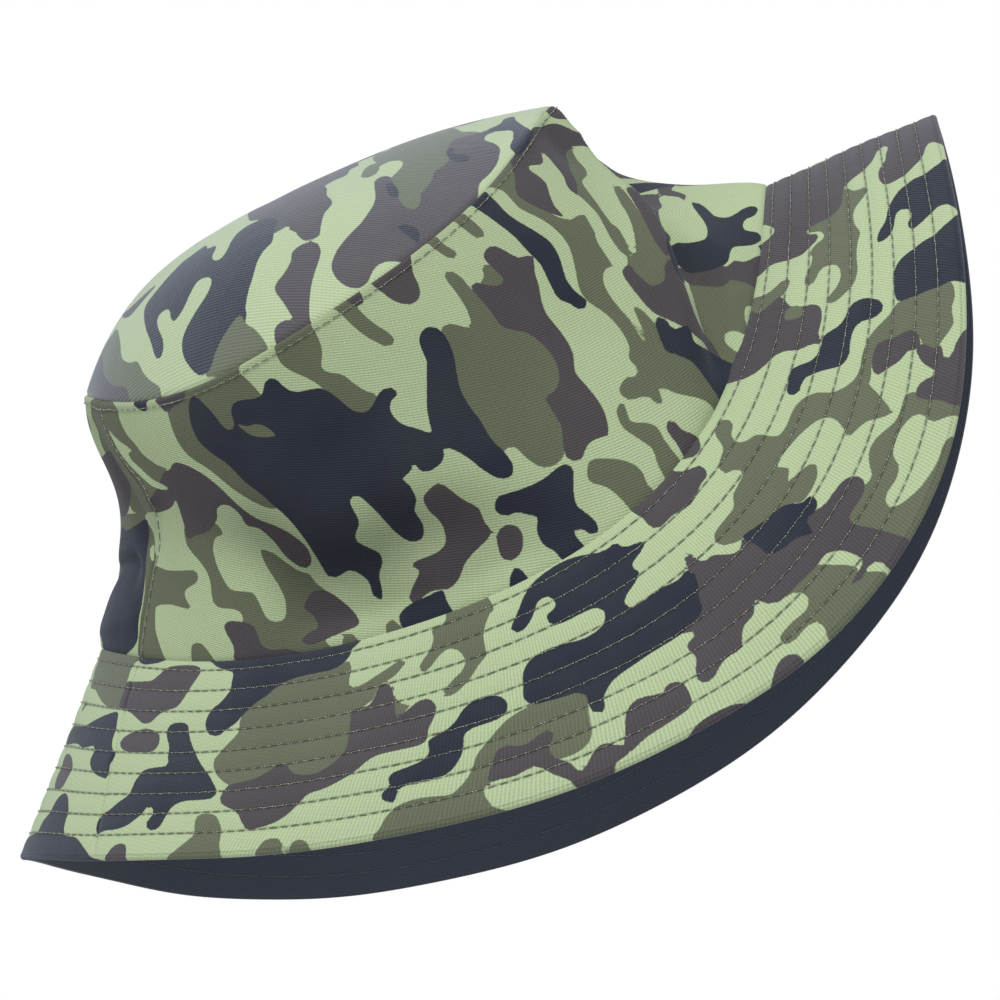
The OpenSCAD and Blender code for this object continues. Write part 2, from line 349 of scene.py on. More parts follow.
WALL_PRINT = {
    "olive": [
        [(-75.5, 0.5), (-73, 5), (-70, 9.5), (-67, 12), (-64.7, 15), (-60, 18.2), (-56, 20.2), (-55, 26),
         (-60, 29), (-64, 32.5), (-68, 33.2), (-73, 34.5), (-78, 37), (-84, 36), (-89, 30), (-91, 24),
         (-97, 14), (-92, 0)],
        [(-37, 46.6), (-34.5, 48), (-32.3, 51.3), (-30.3, 54.3), (-28.4, 55.8), (-27.8, 58.5),
         (-25.8, 61.8), (-24, 65), (-23, 68.5), (-23.2, 71), (-27, 72), (-30.5, 73), (-31, 77), (-50, 77),
         (-50, 71), (-51, 66), (-50.3, 64.3), (-48.5, 64), (-46, 64.5), (-46, 62), (-47.5, 60.8), (-51, 60),
         (-52.5, 58.2), (-52.2, 52), (-53.5, 48.3), (-56.5, 44), (-57.3, 41.5), (-56, 37), (-48, 36),
         (-45.4, 38.5), (-45.4, 40.6), (-47.6, 41), (-49.3, 44), (-49.4, 48), (-48.5, 52.2), (-47, 55.5),
         (-43.5, 56.6), (-41.6, 57.6), (-41, 60.5), (-40.3, 64.5), (-38.5, 65.8), (-36.4, 65), (-35.3, 61),
         (-35.6, 57), (-37, 51)],
        [(-51, 3), (-50.4, 9), (-49.5, 13), (-47.3, 17.5), (-43, 22), (-40, 26), (-37, 30.2), (-33, 34.6),
         (-30, 36.9), (-28.4, 36.4), (-30, 30), (-20.5, 12), (-20.3, 9), (-21.8, 5), (-23.5, 2),
         (-24.5, -1), (-50, -1)],
        [(-9.5, -1), (-11.2, 1.5), (-11.5, 4.5), (-10, 7.5), (-7.5, 10.5), (-5.5, 13.5), (-4, 18), (-2, 23),
         (1.5, 25.5), (5.2, 22.8), (3.5, 20.5), (2.2, 17.5), (1, 14.5), (-1.5, 12.5), (-2.6, 11),
         (-1.8, 9.5), (-0.3, 7.5), (0.6, 5), (0.9, 1.5), (0.6, -1)],
        [(8.5, -1), (9.2, 2), (10, 6), (11, 9.5), (12.5, 12.5), (13.5, 14.2), (15, 14.8), (16.3, 13.8),
         (16, 11.5), (14.8, 8.5), (14, 5), (14, 3), (16, 2), (16.6, -1)],
        [(39.8, -1), (40.2, 3), (40.6, 6), (42, 7.3), (43.3, 6), (42.8, 3), (42.9, -1)],
        [(50.2, -1), (50, 3), (49.8, 7), (51, 8), (52.5, 7), (53.4, 3.5), (53.5, -1)],
        [(26, 18.5), (28, 17.8), (29.8, 19.5), (31.3, 21.8), (32.8, 20.5), (34.2, 17.5), (35.2, 13.5),
         (35.9, 9.8), (37, 8.3), (38.6, 9), (39, 12), (38.6, 15), (40, 24), (41, 36), (38, 45), (33.3, 46),
         (32, 50), (30, 54), (28.2, 56.5), (25.5, 57), (23.2, 55.5), (22.2, 52), (21.8, 48.8), (20.5, 48),
         (18.5, 48), (18, 40), (20, 30), (24, 22)],
        [(41, 15.5), (43, 14.8), (44.3, 13.2), (45.6, 12.8), (46.6, 14), (46.2, 18), (45, 19.5), (42.5, 19),
         (41, 17)],
        [(66, -1), (66.6, 3), (64.5, 7), (63.2, 10), (63.2, 15), (62.5, 20), (60.8, 24.5), (57.5, 29),
         (54.8, 32.5), (53.8, 36), (54.2, 41), (53.8, 46), (52.5, 50), (50.8, 51.5), (50.6, 54),
         (49.5, 55.5), (48, 54), (46, 53.8), (44.6, 55), (45, 57.5), (47.2, 59.3), (48.2, 60.5), (48.3, 63),
         (49.3, 63.8), (50.2, 62), (51.3, 60.5), (51.8, 63.5), (53, 66.5), (54.5, 69.5), (56, 73), (57, 77),
         (61, 77), (60, 66), (58.5, 59), (58, 55), (58.8, 51), (59.3, 46), (58.5, 45.5), (57, 49),
         (55.6, 53), (55.2, 51.5), (56.4, 46), (57.3, 40), (58.8, 36.2), (61, 34.6), (62.8, 35.8),
         (64.5, 38.5), (67, 37), (65.3, 34), (65.6, 30), (68.2, 25.4), (69.8, 22.9), (68.6, 21.6),
         (66.5, 20.5), (65.8, 17), (67.5, 10.5), (71.5, 7), (76, 3), (80, 1), (81, -1)],
        [(72, 25.4), (70, 28.1), (68.1, 30.9), (66.8, 33.7), (66.5, 36.5), (67.3, 38.3), (69.5, 37),
         (75, 30), (80, 26), (90, 22), (98.6, 17), (101.5, 13), (97, 11), (90, 12), (84.5, 12.5),
         (80.7, 13.6), (77.2, 15.4), (75.4, 17.1), (74.6, 20), (73.2, 22.9)],
        [(66.5, 38), (68, 38.3), (71, 36), (74, 33.3), (77.5, 30.3), (81, 28), (85, 26.2), (84.5, 28),
         (81, 31), (77, 34.5), (73.5, 38.8), (71.5, 43), (69, 47.5), (64.5, 49), (62, 47), (62, 43),
         (63.5, 39)],
        [(28.6, 64.3), (30, 61.8), (31.5, 61), (33.5, 62.5), (35.5, 64.8), (37, 67.5), (37.4, 70.5),
         (36.6, 73), (36.5, 77), (31.5, 77), (31, 71), (30.3, 67.5)],
        [(40.3, 60.5), (41.3, 57.5), (42.8, 56.3), (43.6, 57.3), (42.6, 59.8), (42.3, 61.3), (44, 63.3),
         (45.3, 66), (44.7, 69.5), (44.5, 73), (44, 77), (40, 77), (40.5, 72), (41.8, 68.5), (41, 64.5)],
        [(-19, 77), (-18.5, 73.5), (-17, 72), (-16, 74), (-16, 77)],
        [(-28, 77), (-27, 73.5), (-25, 72.8), (-24.5, 77)],
        [(-77, 40), (-73, 44), (-71.5, 49), (-71.5, 58), (-71.8, 66), (-70.5, 71), (-70, 77), (-79, 77),
         (-77.5, 65), (-76.5, 55)],
        [(-73, 50.2), (-66, 50), (-60, 49.7), (-56.5, 49.6), (-55.5, 51), (-56.5, 53), (-59.5, 54.5),
         (-60.8, 56), (-60.3, 58), (-59.2, 60.2), (-62, 59.9), (-66, 59.3), (-70, 59.8), (-73, 60.3)],
        [(-61.7, 77), (-61, 71), (-59.5, 69.6), (-57.8, 70), (-56.3, 73), (-56, 77)],
        [(-78, 37.5), (-84, 37), (-92, 38.5), (-102, 40), (-108, 46), (-100, 48), (-82, 42)],
        [(67, 77), (67.5, 68), (69, 63), (75, 59.5), (79.5, 57), (83, 62), (84, 70), (88, 77)],
        [(-112, 58, 6), (-108, 68, 5)],
        [(110, 20, 5), (118, 28, 6), (122, 38, 4)],
    ],
    "brown": [
        [(-58, 21), (-55.2, 20.2), (-53.4, 18.6), (-51.5, 18.5), (-48.3, 20.2), (-44.5, 23.6), (-41.2, 28),
         (-38.2, 33.5), (-35, 38), (-31, 41.4), (-28.3, 44.6), (-26.4, 48.5), (-26.5, 52), (-28, 54),
         (-30, 53), (-32, 49.3), (-33, 45.3), (-35.2, 41), (-38, 39.4), (-38.6, 36.2), (-40.3, 33.4),
         (-42.5, 32.5), (-44.4, 33.4), (-45.4, 36), (-49, 39), (-54, 40), (-56.6, 41), (-56.3, 36),
         (-56.3, 29.5), (-57.3, 29.8), (-58.5, 31), (-61, 32), (-66.5, 33), (-65.5, 29), (-63, 26.5)],
        [(-55, -1), (-53.8, 2), (-51, 4.6), (-48, 3.2), (-44, 2.6), (-43, -1)],
        [(-31.5, 62.5), (-29, 60.2), (-26.3, 61), (-24.2, 64.5), (-23, 68.5), (-23.2, 71.2), (-28, 72.2),
         (-33.5, 73.5), (-35, 72), (-33, 70.2), (-31, 69.5), (-31, 66), (-32, 64)],
        [(-51, 66), (-50.2, 64.3), (-48.5, 63.9), (-46, 64.6), (-43.8, 66), (-43.5, 71), (-42, 73),
         (-38, 73.5), (-36, 77), (-50, 77), (-50, 71)],
        [(12.6, -1), (13.3, 2), (14.8, 3.1), (16.3, 2.6), (16.8, 1), (16.6, -1)],
        [(21.5, -1), (21.6, 4), (22.5, 7), (24.3, 9.2), (26.5, 9.7), (28.5, 8.8), (30, 6.5), (31, 4),
         (33, 1.5), (34, -1)],
        [(39.5, 14.3), (40.8, 14.8), (41.7, 16.5), (43.5, 18.5), (45.5, 18.6), (46.1, 16), (46.3, 13),
         (47, 11.3), (49, 10.5), (50.8, 11), (51.5, 14), (52, 17.3), (54.5, 19), (53.5, 20.5), (51.5, 22.5),
         (49.5, 25.5), (47.5, 28), (46, 31), (45.5, 34), (44.8, 38), (43.5, 41.5), (41.2, 44.5), (40.8, 48),
         (40.5, 52), (39.8, 55), (38.5, 57.8), (37, 59.5), (35.5, 58.6), (33.5, 58), (32, 58.5),
         (30.5, 59.5), (29, 59), (28.3, 57), (29.5, 54.5), (31.5, 51), (32.3, 47), (33, 44.3), (35.5, 44.5),
         (38, 43), (40, 39.3), (40.5, 35), (40, 31), (38.3, 28.5), (37, 25.8), (37.7, 22), (38.2, 18.5),
         (38.5, 15.5)],
        [(66.6, 7.5), (68.6, 5.6), (70, 5), (74, 3), (77.5, 1), (79, -1), (96, -1), (99, 1.2), (102, 2.6),
         (104.8, 3.6), (106.3, 5.5), (106.2, 8.5), (105.6, 11), (105.5, 14), (105, 18), (101.5, 18),
         (100.8, 15.5), (99.6, 14), (97, 13.2), (92, 14.6), (86, 15.2), (80, 17.5), (75, 19), (69, 20.5),
         (66.6, 19.3), (65.8, 16), (65.7, 12.5), (66, 9.5)],
        [(62.8, 38.2), (64.8, 38.3), (63.8, 42), (63.3, 45.8), (65.2, 47.5), (68, 45.5), (70, 47), (69, 52),
         (67, 56), (66, 60), (67.5, 63.5), (68.5, 68), (66.5, 72), (65, 66), (62.5, 62), (61, 56), (60, 50),
         (60.6, 45), (61.6, 41)],
        [(71, 41), (74, 37.3), (78, 33.6), (81.5, 31), (84, 29.5), (86, 31), (82, 36), (78, 40), (76, 42),
         (73, 43), (71, 45), (69.5, 45)],
        [(112, 4, 4), (122, 8, 6), (134, 6, 5)],
        [(1, 48.5), (3, 47.3), (5.5, 47), (6.5, 49.5), (7.5, 53), (8.9, 56), (8.2, 59.5), (8.4, 61.5),
         (7, 63), (3, 64.5), (0.5, 66), (-2, 68.5), (-4.5, 69.8), (-6.5, 69), (-8.5, 69), (-11.5, 70.2),
         (-12, 68.5), (-9.5, 65.5), (-7.5, 63.5), (-8.3, 61.5), (-6.8, 60.9), (-3, 61), (-0.5, 60),
         (0.8, 57.5), (1.2, 54.5), (0.6, 51.5)],
        [(7, 67.5), (8, 64.5), (9.5, 62.6), (11.5, 62.3), (12.8, 64), (12.3, 66.5), (10.5, 69), (8.5, 69.8),
         (7.2, 69.2)],
        [(46.3, 68.5), (47.3, 67.3), (48.5, 68), (48.6, 71), (49.8, 74), (50, 77), (45.5, 77), (46, 72)],
        [(80.5, 62), (84, 65), (87, 67), (91, 71), (96, 75), (97, 77), (86, 77), (83, 71), (81, 66)],
        [(79.2, 53, 0.9), (79.5, 58, 1.7), (81, 64, 2.2)],
        [(86, 50), (91, 47.8), (96, 47.2), (101, 48.5), (106, 51), (111, 52.5), (118, 53), (125, 52.5),
         (128, 49), (124, 44), (112, 42), (100, 41), (90, 42), (84, 46)],
        [(112, 57.5), (118, 56.5), (124, 53.5), (131, 51), (138, 48.5), (139, 51.5), (130, 54), (124, 56.5),
         (118, 58)],
        [(-84, 22), (-92, 18), (-100, 20), (-112, 17), (-114, 30), (-106, 38), (-96, 40), (-86, 36)],
        [(-114, 2, 4), (-106, 8, 4)],
    ],
    "black": [
        [(-43.4, 11), (-43.5, 8), (-42.8, 4.5), (-41.3, 2.6), (-39.5, 2.8), (-37.3, 5.5), (-35.3, 9),
         (-34, 12.5), (-32.3, 14.3), (-30.6, 13.5), (-30.2, 11), (-29.8, 9.5), (-28.5, 8.2), (-26, 8.3),
         (-23, 9.2), (-20.5, 9.6), (-19, 8.5), (-17.8, 7), (-16, 6.7), (-14.6, 7.5), (-13.8, 9.5),
         (-12.3, 12), (-10, 13.2), (-7, 14), (-5, 15), (-3.4, 17.5), (-2.2, 21), (-1, 23.6), (1, 24.8),
         (3, 24.3), (5.5, 22.7), (7.5, 22.2), (9, 23), (9.2, 24.8), (7.2, 25.5), (5.9, 27), (5.6, 29),
         (6.3, 31.5), (8.2, 33.8), (10.2, 36.3), (11.2, 34), (12.6, 31), (14.5, 28.2), (17, 24.7), (19, 22),
         (20, 18.5), (21.5, 16.5), (23.5, 15.8), (25.3, 16.5), (26, 18.5), (25.7, 21), (24.5, 24.5),
         (22.5, 28), (20.8, 31.5), (20, 35.5), (19.8, 40), (19.2, 44.5), (19.6, 48.5), (19.4, 51.5),
         (18.3, 53.3), (16.8, 53.6), (15.2, 52.2), (14, 49), (13.2, 45.5), (12, 42.5), (10.4, 40.5),
         (9.5, 42.3), (7.5, 43.5), (5, 43.6), (3.9, 42.8), (3.6, 41), (2.9, 40), (2.2, 41.6), (-0.2, 42.4),
         (0.3, 44.5), (-0.2, 48), (-1.8, 50.2), (-1.9, 53.5), (-3, 56), (-4.5, 56.8), (-6.4, 55.8),
         (-7.6, 52.5), (-8.3, 48), (-9, 44.5), (-9.8, 42), (-11.3, 41.2), (-12.4, 42.5), (-12.6, 46),
         (-13.2, 48), (-15, 49.8), (-15.5, 51.5), (-14.5, 53.3), (-12.7, 56), (-13.2, 58.5), (-15, 61),
         (-16, 65), (-17.2, 67), (-18, 65.3), (-17.6, 61.5), (-19, 58.5), (-20.5, 57.6), (-23, 58.3),
         (-24.8, 57.5), (-25.2, 54), (-25.6, 48.5), (-26.5, 43), (-28, 38.5), (-29.2, 36.3), (-31, 32.5),
         (-34, 28), (-36.5, 22.8), (-40, 18.6), (-42.6, 14.5)],
        [(-65.5, -1), (-64.6, 1), (-62, 2.6), (-59.5, 3), (-58.7, 1), (-58.7, -1)],
        [(57.8, -1), (57.2, 3), (56.5, 8), (55.8, 13), (54.5, 18), (53.8, 22), (51.5, 27), (50.3, 30.5),
         (51, 33), (51.3, 35.5), (52.6, 36.5), (53.8, 35.5), (53.8, 32), (54.8, 28.5), (57.5, 24.5),
         (59.3, 20.5), (59.7, 16), (59.8, 11.5), (60.5, 7.5), (62.5, 3.5), (63.7, -1)],
        [(56.5, 57), (58.5, 52), (59.5, 50.5), (60.3, 53), (60, 56), (62.3, 58.5), (61.2, 62), (63, 65),
         (66, 68), (67, 72), (66, 77), (59.5, 77), (58.6, 70), (58.2, 64), (57, 59.5)],
        [(69, 48), (71, 44.5), (74, 42.5), (76, 42.5), (75, 46), (73, 50), (70.5, 53), (68.5, 52)],
        [(82, -1), (82, 1.4), (86, 1.8), (90, 1.7), (95.5, 1), (96.5, -1)],
        [(128, 20, 4), (136, 28, 6), (134, 40, 4)],
        [(80, 56), (82, 52.5), (85.5, 50.5), (86, 54), (88, 57.3), (93, 58.3), (101, 57.8), (108, 58),
         (111.5, 58.8), (106, 60.3), (101, 61.5), (100.5, 64), (102.5, 66.5), (106, 69), (108, 71.5),
         (107, 73), (104, 72), (101.5, 69.5), (98.5, 68.8), (97.6, 70), (98.5, 73), (97.5, 75), (94, 72),
         (90.5, 66.5), (88, 65), (84.5, 64.5), (82, 62), (80.6, 59)],
        [(11.2, 59), (11.8, 57.2), (13.2, 56), (15, 56.4), (18, 57.3), (22, 58), (26, 57.8), (27.6, 58.5),
         (27.7, 60.2), (26.5, 62), (24.8, 64.5), (23.9, 67), (24.4, 69.5), (24.7, 72), (24, 74),
         (22.8, 74.2), (22, 72), (21, 70.8), (20.2, 72), (20, 77), (16, 77), (15.4, 72.5), (14.5, 70),
         (15, 67), (16.3, 65), (16.9, 63.2), (15.4, 62.8), (14.6, 61), (12.5, 60.7)],
        [(-15, 77), (-15.5, 72.5), (-14, 70.7), (-11.5, 69.8), (-8, 69.5), (-5.8, 69.2), (-6, 72),
         (-7, 77)],
        [(4.5, 77), (6, 73), (8.3, 71.3), (8.6, 73.5), (8.4, 77)],
        [(-77, 38.5), (-82, 40), (-90, 43), (-98, 43.5), (-104, 48), (-110, 43), (-118, 38), (-124, 41),
         (-123, 47), (-116, 51), (-109, 55), (-108, 61), (-114, 66), (-121, 68), (-122, 73), (-114, 75),
         (-107, 70), (-102, 72), (-100, 77), (-90, 77), (-83, 74), (-79, 70.5), (-77.8, 64), (-76.8, 55),
         (-76.3, 48)],
    ],
    "light": [
        [(-79, 7.3), (-75.5, 9.8), (-72, 12), (-68.8, 13.8), (-70.5, 14.6), (-69.5, 16.5), (-66, 19.6),
         (-62.8, 22.6), (-59.5, 24.3), (-57.6, 25.7), (-59.5, 25.9), (-63, 24.6), (-67, 21), (-71, 17.3),
         (-74.5, 13.5), (-77, 10)],
        [(-75, 45.5), (-73.5, 44.5), (-72.5, 46), (-72.8, 48.5), (-74.5, 47.5)],
        [(79.3, 5), (81.1, 7.1), (83.6, 7.5), (88.4, 5.6), (87.1, 8.2), (84.3, 10.7), (80.7, 13.6),
         (77.1, 15.4), (75.4, 17.1), (74.6, 20), (73.2, 22.9), (71.3, 25.3), (69.3, 27.9), (67.5, 30.7),
         (66.3, 33.6), (66.1, 36.4), (65, 38.2), (63.6, 37.9), (62.7, 35.7), (63.2, 34.3), (64.3, 31.4),
         (65.7, 28.6), (68, 26.8), (70.3, 25.2), (71.3, 23.4), (69.2, 22), (67, 21.2), (66.3, 20),
         (67.2, 18), (68.5, 15.5), (71.4, 12.9), (74.3, 11), (76, 8.6), (77.4, 5.8)],
        [(71, 30.4), (72.9, 27.1), (76.4, 22.9), (80, 19.6), (82.9, 18.9), (87.1, 19.9), (90.7, 19.3),
         (95, 16.8), (98.6, 14.3), (100.6, 13.8), (99.6, 17.1), (96.4, 20.7), (92.1, 23.6), (87.1, 25.1),
         (82.9, 26.4), (79.3, 28.9), (75.7, 32.1), (72.1, 35), (68.9, 37.5), (67.5, 38.4), (67.1, 37.5),
         (69.3, 34.3), (71.2, 31.3)],
        [(85.5, 64.8), (88.2, 65.3), (91, 68), (94.5, 73.5), (93.5, 75.5), (91, 73), (88, 70), (86.5, 67)],
        [(69.6, 77), (70, 72), (71.2, 70.3), (72.8, 72), (73.4, 77)],
        [(75.5, 77), (76, 74), (78.5, 73), (80.5, 77)],
    ],
    "olive_over": [
        [(-29.5, 13.5), (-27, 15), (-24, 15.5), (-22, 17.5), (-20.8, 20), (-22.5, 19.8), (-25, 18.8),
         (-27, 17.5), (-28.5, 15.5)],
    ],
}
BRIM_PRINT = {
    "olive": [
        [(-140, -1), (-136, 5), (-132.5, 9), (-125, 9.4), (-120, 10.6), (-115, 12), (-110, 12.8),
         (-105, 12.9), (-104.5, 11), (-106.2, 8), (-107, 5.5), (-108.3, 2.5), (-109, -1)],
        [(-131, 13), (-129.5, 12.3), (-127.5, 13.3), (-128.5, 14.8), (-130.5, 14.8)],
        [(-62.5, 40), (-59.5, 40), (-58, 41.5), (-56.8, 44), (-56.2, 48), (-56, 52), (-66, 52), (-64.5, 49),
         (-63, 47), (-62, 45), (-62.6, 42.5)],
        [(-60.3, 19.5), (-63, 23.4), (-63.8, 26.3), (-62.2, 29.4), (-59, 32.2), (-55, 34), (-48, 34),
         (-42, 34), (-37, 31), (-34, 27.5), (-33, 23.8), (-33, 19), (-31, 17), (-29.5, 16), (-28.6, 13.3),
         (-27.3, 12.4), (-25, 11.6), (-23, 10), (-22, 8.9), (-22.2, 7.8), (-23.5, 7.8), (-26.3, 9.1),
         (-29.4, 10.5), (-32.5, 11.8), (-34.8, 11.8), (-35.1, 10), (-35.1, 5), (-40, 5), (-48, 5.5),
         (-52, 6.5), (-55.3, 9.5), (-58.5, 12), (-60.7, 15)],
        [(-25.2, 13.5), (-25, 17), (-24, 19), (-21.5, 19), (-23, 20.8), (-24.7, 22.8), (-26, 21.5),
         (-26.3, 17), (-26, 14)],
        [(-49.5, 52), (-48.5, 48.2), (-47, 47.3), (-45.3, 48), (-45.2, 52)],
        [(-43.8, 52), (-43.3, 48.8), (-42, 48.3), (-40.8, 49.5), (-40.6, 52)],
        [(-14.5, 2.5), (-14.6, 5), (-16, 7.3), (-18.5, 10), (-19.3, 11.5), (-18.5, 12.6), (-16.5, 11.5),
         (-14.5, 9.8), (-12.5, 8.7), (-10.8, 9.2), (-9.7, 11), (-9.7, 13.5), (-11, 15.3), (-13.5, 17),
         (-15.5, 18.8), (-15.6, 20.2), (-13.5, 20.3), (-10, 17.8), (-7, 15), (-5.2, 13.5), (-4.6, 11),
         (-4, 8.5), (-2.7, 6.3), (-0.5, 4), (0.8, 3.2), (1, 0), (0.9, -1), (-9, -1), (-10.5, 1.3),
         (-12.5, 2.5)],
        [(-3, 29.2), (1, 29), (5, 29.5), (7.6, 31.5), (6.3, 34.3), (5.3, 37.5), (4.3, 41), (2.5, 43),
         (0.3, 43.6), (-2, 43.4), (-4.8, 42.8), (-6.5, 43.2), (-9, 43.8), (-11.5, 43.5), (-13.4, 44.5),
         (-13.6, 46.5), (-13, 49.5), (-12.3, 52), (-29.8, 52), (-29.3, 48.3), (-28, 45.5), (-26, 43.8),
         (-23, 43.3), (-20, 43.8), (-18.2, 44), (-16, 42), (-14.3, 39.3), (-13, 36.5), (-11, 34.2),
         (-8.5, 32), (-6, 30.2)],
        [(73.5, 2.2), (74.8, 3.3), (73.8, 5.3), (71, 6.2), (69.6, 8), (70.3, 9.8), (72.5, 11), (73, 13),
         (73.2, 15.5), (76, 16.3), (80, 16.3), (83, 17.3), (84.8, 19.5), (85.3, 22.5), (86.2, 25),
         (88.2, 27.2), (91, 28.2), (95, 28.2), (98.8, 29.2), (101.3, 31.2), (103.5, 33.3), (106.3, 35.3),
         (106, 40), (100, 40), (97.5, 35), (96, 31.5), (92, 30.8), (89.5, 31.2), (88, 31), (86.5, 33),
         (84.5, 35.5), (82.7, 37.4), (81.4, 35.3), (80.5, 33), (78, 31), (75.8, 29.8), (77.5, 28.7),
         (79.3, 26.3), (79.7, 24), (78.3, 22), (75, 20), (71.5, 18.8), (68, 18.1), (66.3, 19), (66.8, 21),
         (64, 22.3), (66.5, 23.3), (68.8, 24.5), (69, 26), (66.5, 27.4), (63, 27.7), (60.3, 27.2),
         (59.3, 25), (56, 24), (52, 23.4), (49, 22.2), (46.2, 20.8), (45.4, 19), (46.5, 17), (49.5, 16.3),
         (54, 16), (57, 14), (60, 13.5), (62.5, 12.9), (63, 11.3), (61, 9.8), (62, 7.8), (64, 7), (67, 6.2),
         (69, 4), (71, 2.4)],
        [(40.5, 37), (46, 37), (50.5, 38.2), (51.5, 40.5), (53, 44.5), (52, 46), (49.5, 46.6), (50, 47.4),
         (53, 47.5), (53.2, 52), (40.8, 52), (41.6, 48), (41.5, 46), (39.5, 45.6), (36.8, 46.2), (35.6, 45),
         (36.5, 43.3), (39.5, 42.7), (42.5, 42.9), (44.3, 41.5), (44.8, 39.5), (43.8, 38.2)],
        [(60, 37.5), (66, 37), (69.5, 37.8), (71.5, 36.5), (74, 35.2), (76.5, 35.3), (78.5, 36.5),
         (81, 38.3), (84, 38.9), (86.7, 39.2), (87.4, 41), (87, 43), (87, 46), (87.4, 52), (84.6, 52),
         (83.6, 49), (82.3, 46.5), (82.6, 45), (83.3, 43.5), (82.5, 41.5), (80, 40), (77, 39.6),
         (74.5, 40.3), (73, 42), (70.5, 42.7), (67.5, 42.2), (65.8, 42.8), (65.1, 44.3), (66.5, 46),
         (70, 48), (75, 49.3), (79, 49.6), (79, 52), (59.5, 52), (59.5, 44), (58.5, 41)],
        [(96, 31.5), (100, 31), (103.5, 33.3), (106.3, 35.3), (107.6, 39), (108.8, 43.3), (109.8, 47.6),
         (107, 48.7), (104, 47.8), (101, 48.3), (98, 46), (95.5, 44), (95.6, 42), (98, 41), (99, 39),
         (98, 36)],
        [(105.5, -1), (106.5, 2.5), (110.5, 6.8), (112.5, 7.8), (114.8, 8.6), (115.8, 8), (115.5, 6.5),
         (113, 4.5), (111.5, 2), (110.5, -1)],
        [(113, 12.8), (114, 12.2), (116.5, 12.5), (119, 13.5), (121.5, 13.8), (123, 13), (125, 14.5),
         (126.8, 16.8), (129, 16), (130, 13), (133, 12.5), (134, 16), (135, 19), (137, 21), (139, 21.8),
         (142.5, 22), (143, 23.5), (141, 25), (140.3, 26.5), (140.8, 28.5), (139.5, 29.2), (137.5, 28),
         (135.5, 26.5), (133.5, 25), (131, 24.6), (128.5, 25), (125.8, 26.2), (123, 25.3), (119.5, 25),
         (115.5, 25.2), (112.5, 24.5), (110.3, 22.8), (108.3, 21), (107.4, 19.2), (108.3, 18),
         (109.5, 18.4), (111, 19.8), (113.5, 21), (116, 21), (117.7, 20), (118.2, 18), (117, 16),
         (114.5, 15), (113.1, 14)],
        [(-150, 30, 5), (-140, 36, 6)],
    ],
    "brown": [
        [(-106.8, 6.3), (-103, 6), (-99, 5.7), (-95.5, 5.3), (-94, 3.8), (-92.5, 2), (-89, 1.2), (-84, 1),
         (-80.5, 1.3), (-79, 2.8), (-79.3, 5), (-80.2, 7.5), (-80.5, 10.3), (-81.8, 12), (-85, 12.8),
         (-86.5, 14), (-87.5, 15.6), (-89.5, 16.3), (-91.5, 15.9), (-95, 14.6), (-98, 13.6), (-101, 13.1),
         (-104.8, 12.8), (-105.6, 10)],
        [(-95.8, 20.4), (-93.5, 18.6), (-90, 17.7), (-86, 17.7), (-83, 18.8), (-81.5, 20.7), (-81.8, 22.4),
         (-83.5, 23.3), (-90, 23.4), (-93.5, 22.9), (-95.3, 21.8)],
        [(-124.5, 25.8), (-121, 25.4), (-117, 26.2), (-114, 28), (-113, 30.5), (-113.5, 33), (-116, 34),
         (-119.5, 34.1), (-121.5, 33), (-123, 29.5)],
        [(-81, 52), (-80.5, 48.5), (-79, 47.1), (-77, 47.2), (-76, 49), (-75.6, 52)],
        [(-28.3, 12.8), (-26.5, 12.9), (-25.5, 14.5), (-25.3, 19), (-25.3, 22.5), (-23.5, 21.5),
         (-21.5, 20), (-19.5, 19.2), (-18, 20.2), (-17.5, 22.3), (-18.5, 25), (-19.7, 27.3), (-20.3, 29.5),
         (-21.5, 30.6), (-25, 30.7), (-29, 30.8), (-31, 31.8), (-33, 33.5), (-36, 35.5), (-38.5, 36.7),
         (-41.5, 37.5), (-43, 39.3), (-44.8, 41.8), (-47, 43.5), (-50, 44.4), (-52, 44.6), (-53.2, 42.5),
         (-54.8, 39.8), (-57, 38.5), (-58.8, 37), (-59.2, 35), (-58.4, 32.8), (-56.5, 32.3), (-53, 31.7),
         (-50.5, 30.3), (-48.8, 28.9), (-46.8, 29), (-45.6, 31), (-43.4, 32.4), (-40, 32.4), (-37, 30.3),
         (-35, 27.5), (-34.6, 23.8), (-34.4, 19.5), (-34.4, 17.8), (-31, 17.5), (-29.6, 16.2)],
        [(-13, 44.5), (-12.3, 42), (-11, 39), (-9.5, 36.6), (-7.8, 36.3), (-6, 37.5), (-4, 37), (-2, 36),
         (-0.8, 36.2), (-0.8, 37.8), (-2.3, 40.3), (-2, 43.5), (-0.8, 44.3), (-0.3, 46.5), (0.2, 48),
         (1.5, 47), (3, 45), (4.5, 43.9), (6, 44.5), (6.9, 46.8), (8.5, 44), (10, 40.5), (11.3, 38.7),
         (13.3, 37.7), (15.5, 38.5), (16.8, 39.2), (18, 38.2), (19.5, 38), (20.4, 39.2), (20.2, 41.5),
         (19.5, 44), (18.2, 45.5), (15, 46.2), (11, 46.9), (7.5, 48.5), (5, 49.5), (3.5, 52), (-1, 52),
         (-1.8, 49), (-3.5, 46.3), (-4.4, 44.2), (-5.6, 43), (-7.2, 43.4), (-9, 43.9), (-11, 43.5)],
        [(15.5, 52), (17, 50), (20, 49.3), (23.5, 50), (24.5, 52)],
        [(29, 52), (30.5, 49.5), (33, 47.6), (35, 47.8), (35.5, 49.3), (34.5, 52)],
        [(39.8, 15.5), (40.5, 16.5), (40.4, 19.8), (42.5, 19.8), (43.8, 21.3), (45, 22.8), (46.8, 23.1),
         (48.5, 22), (50, 24), (50, 28.5), (52, 30), (54, 31), (57, 30.6), (59.5, 30.5), (61.5, 31.8),
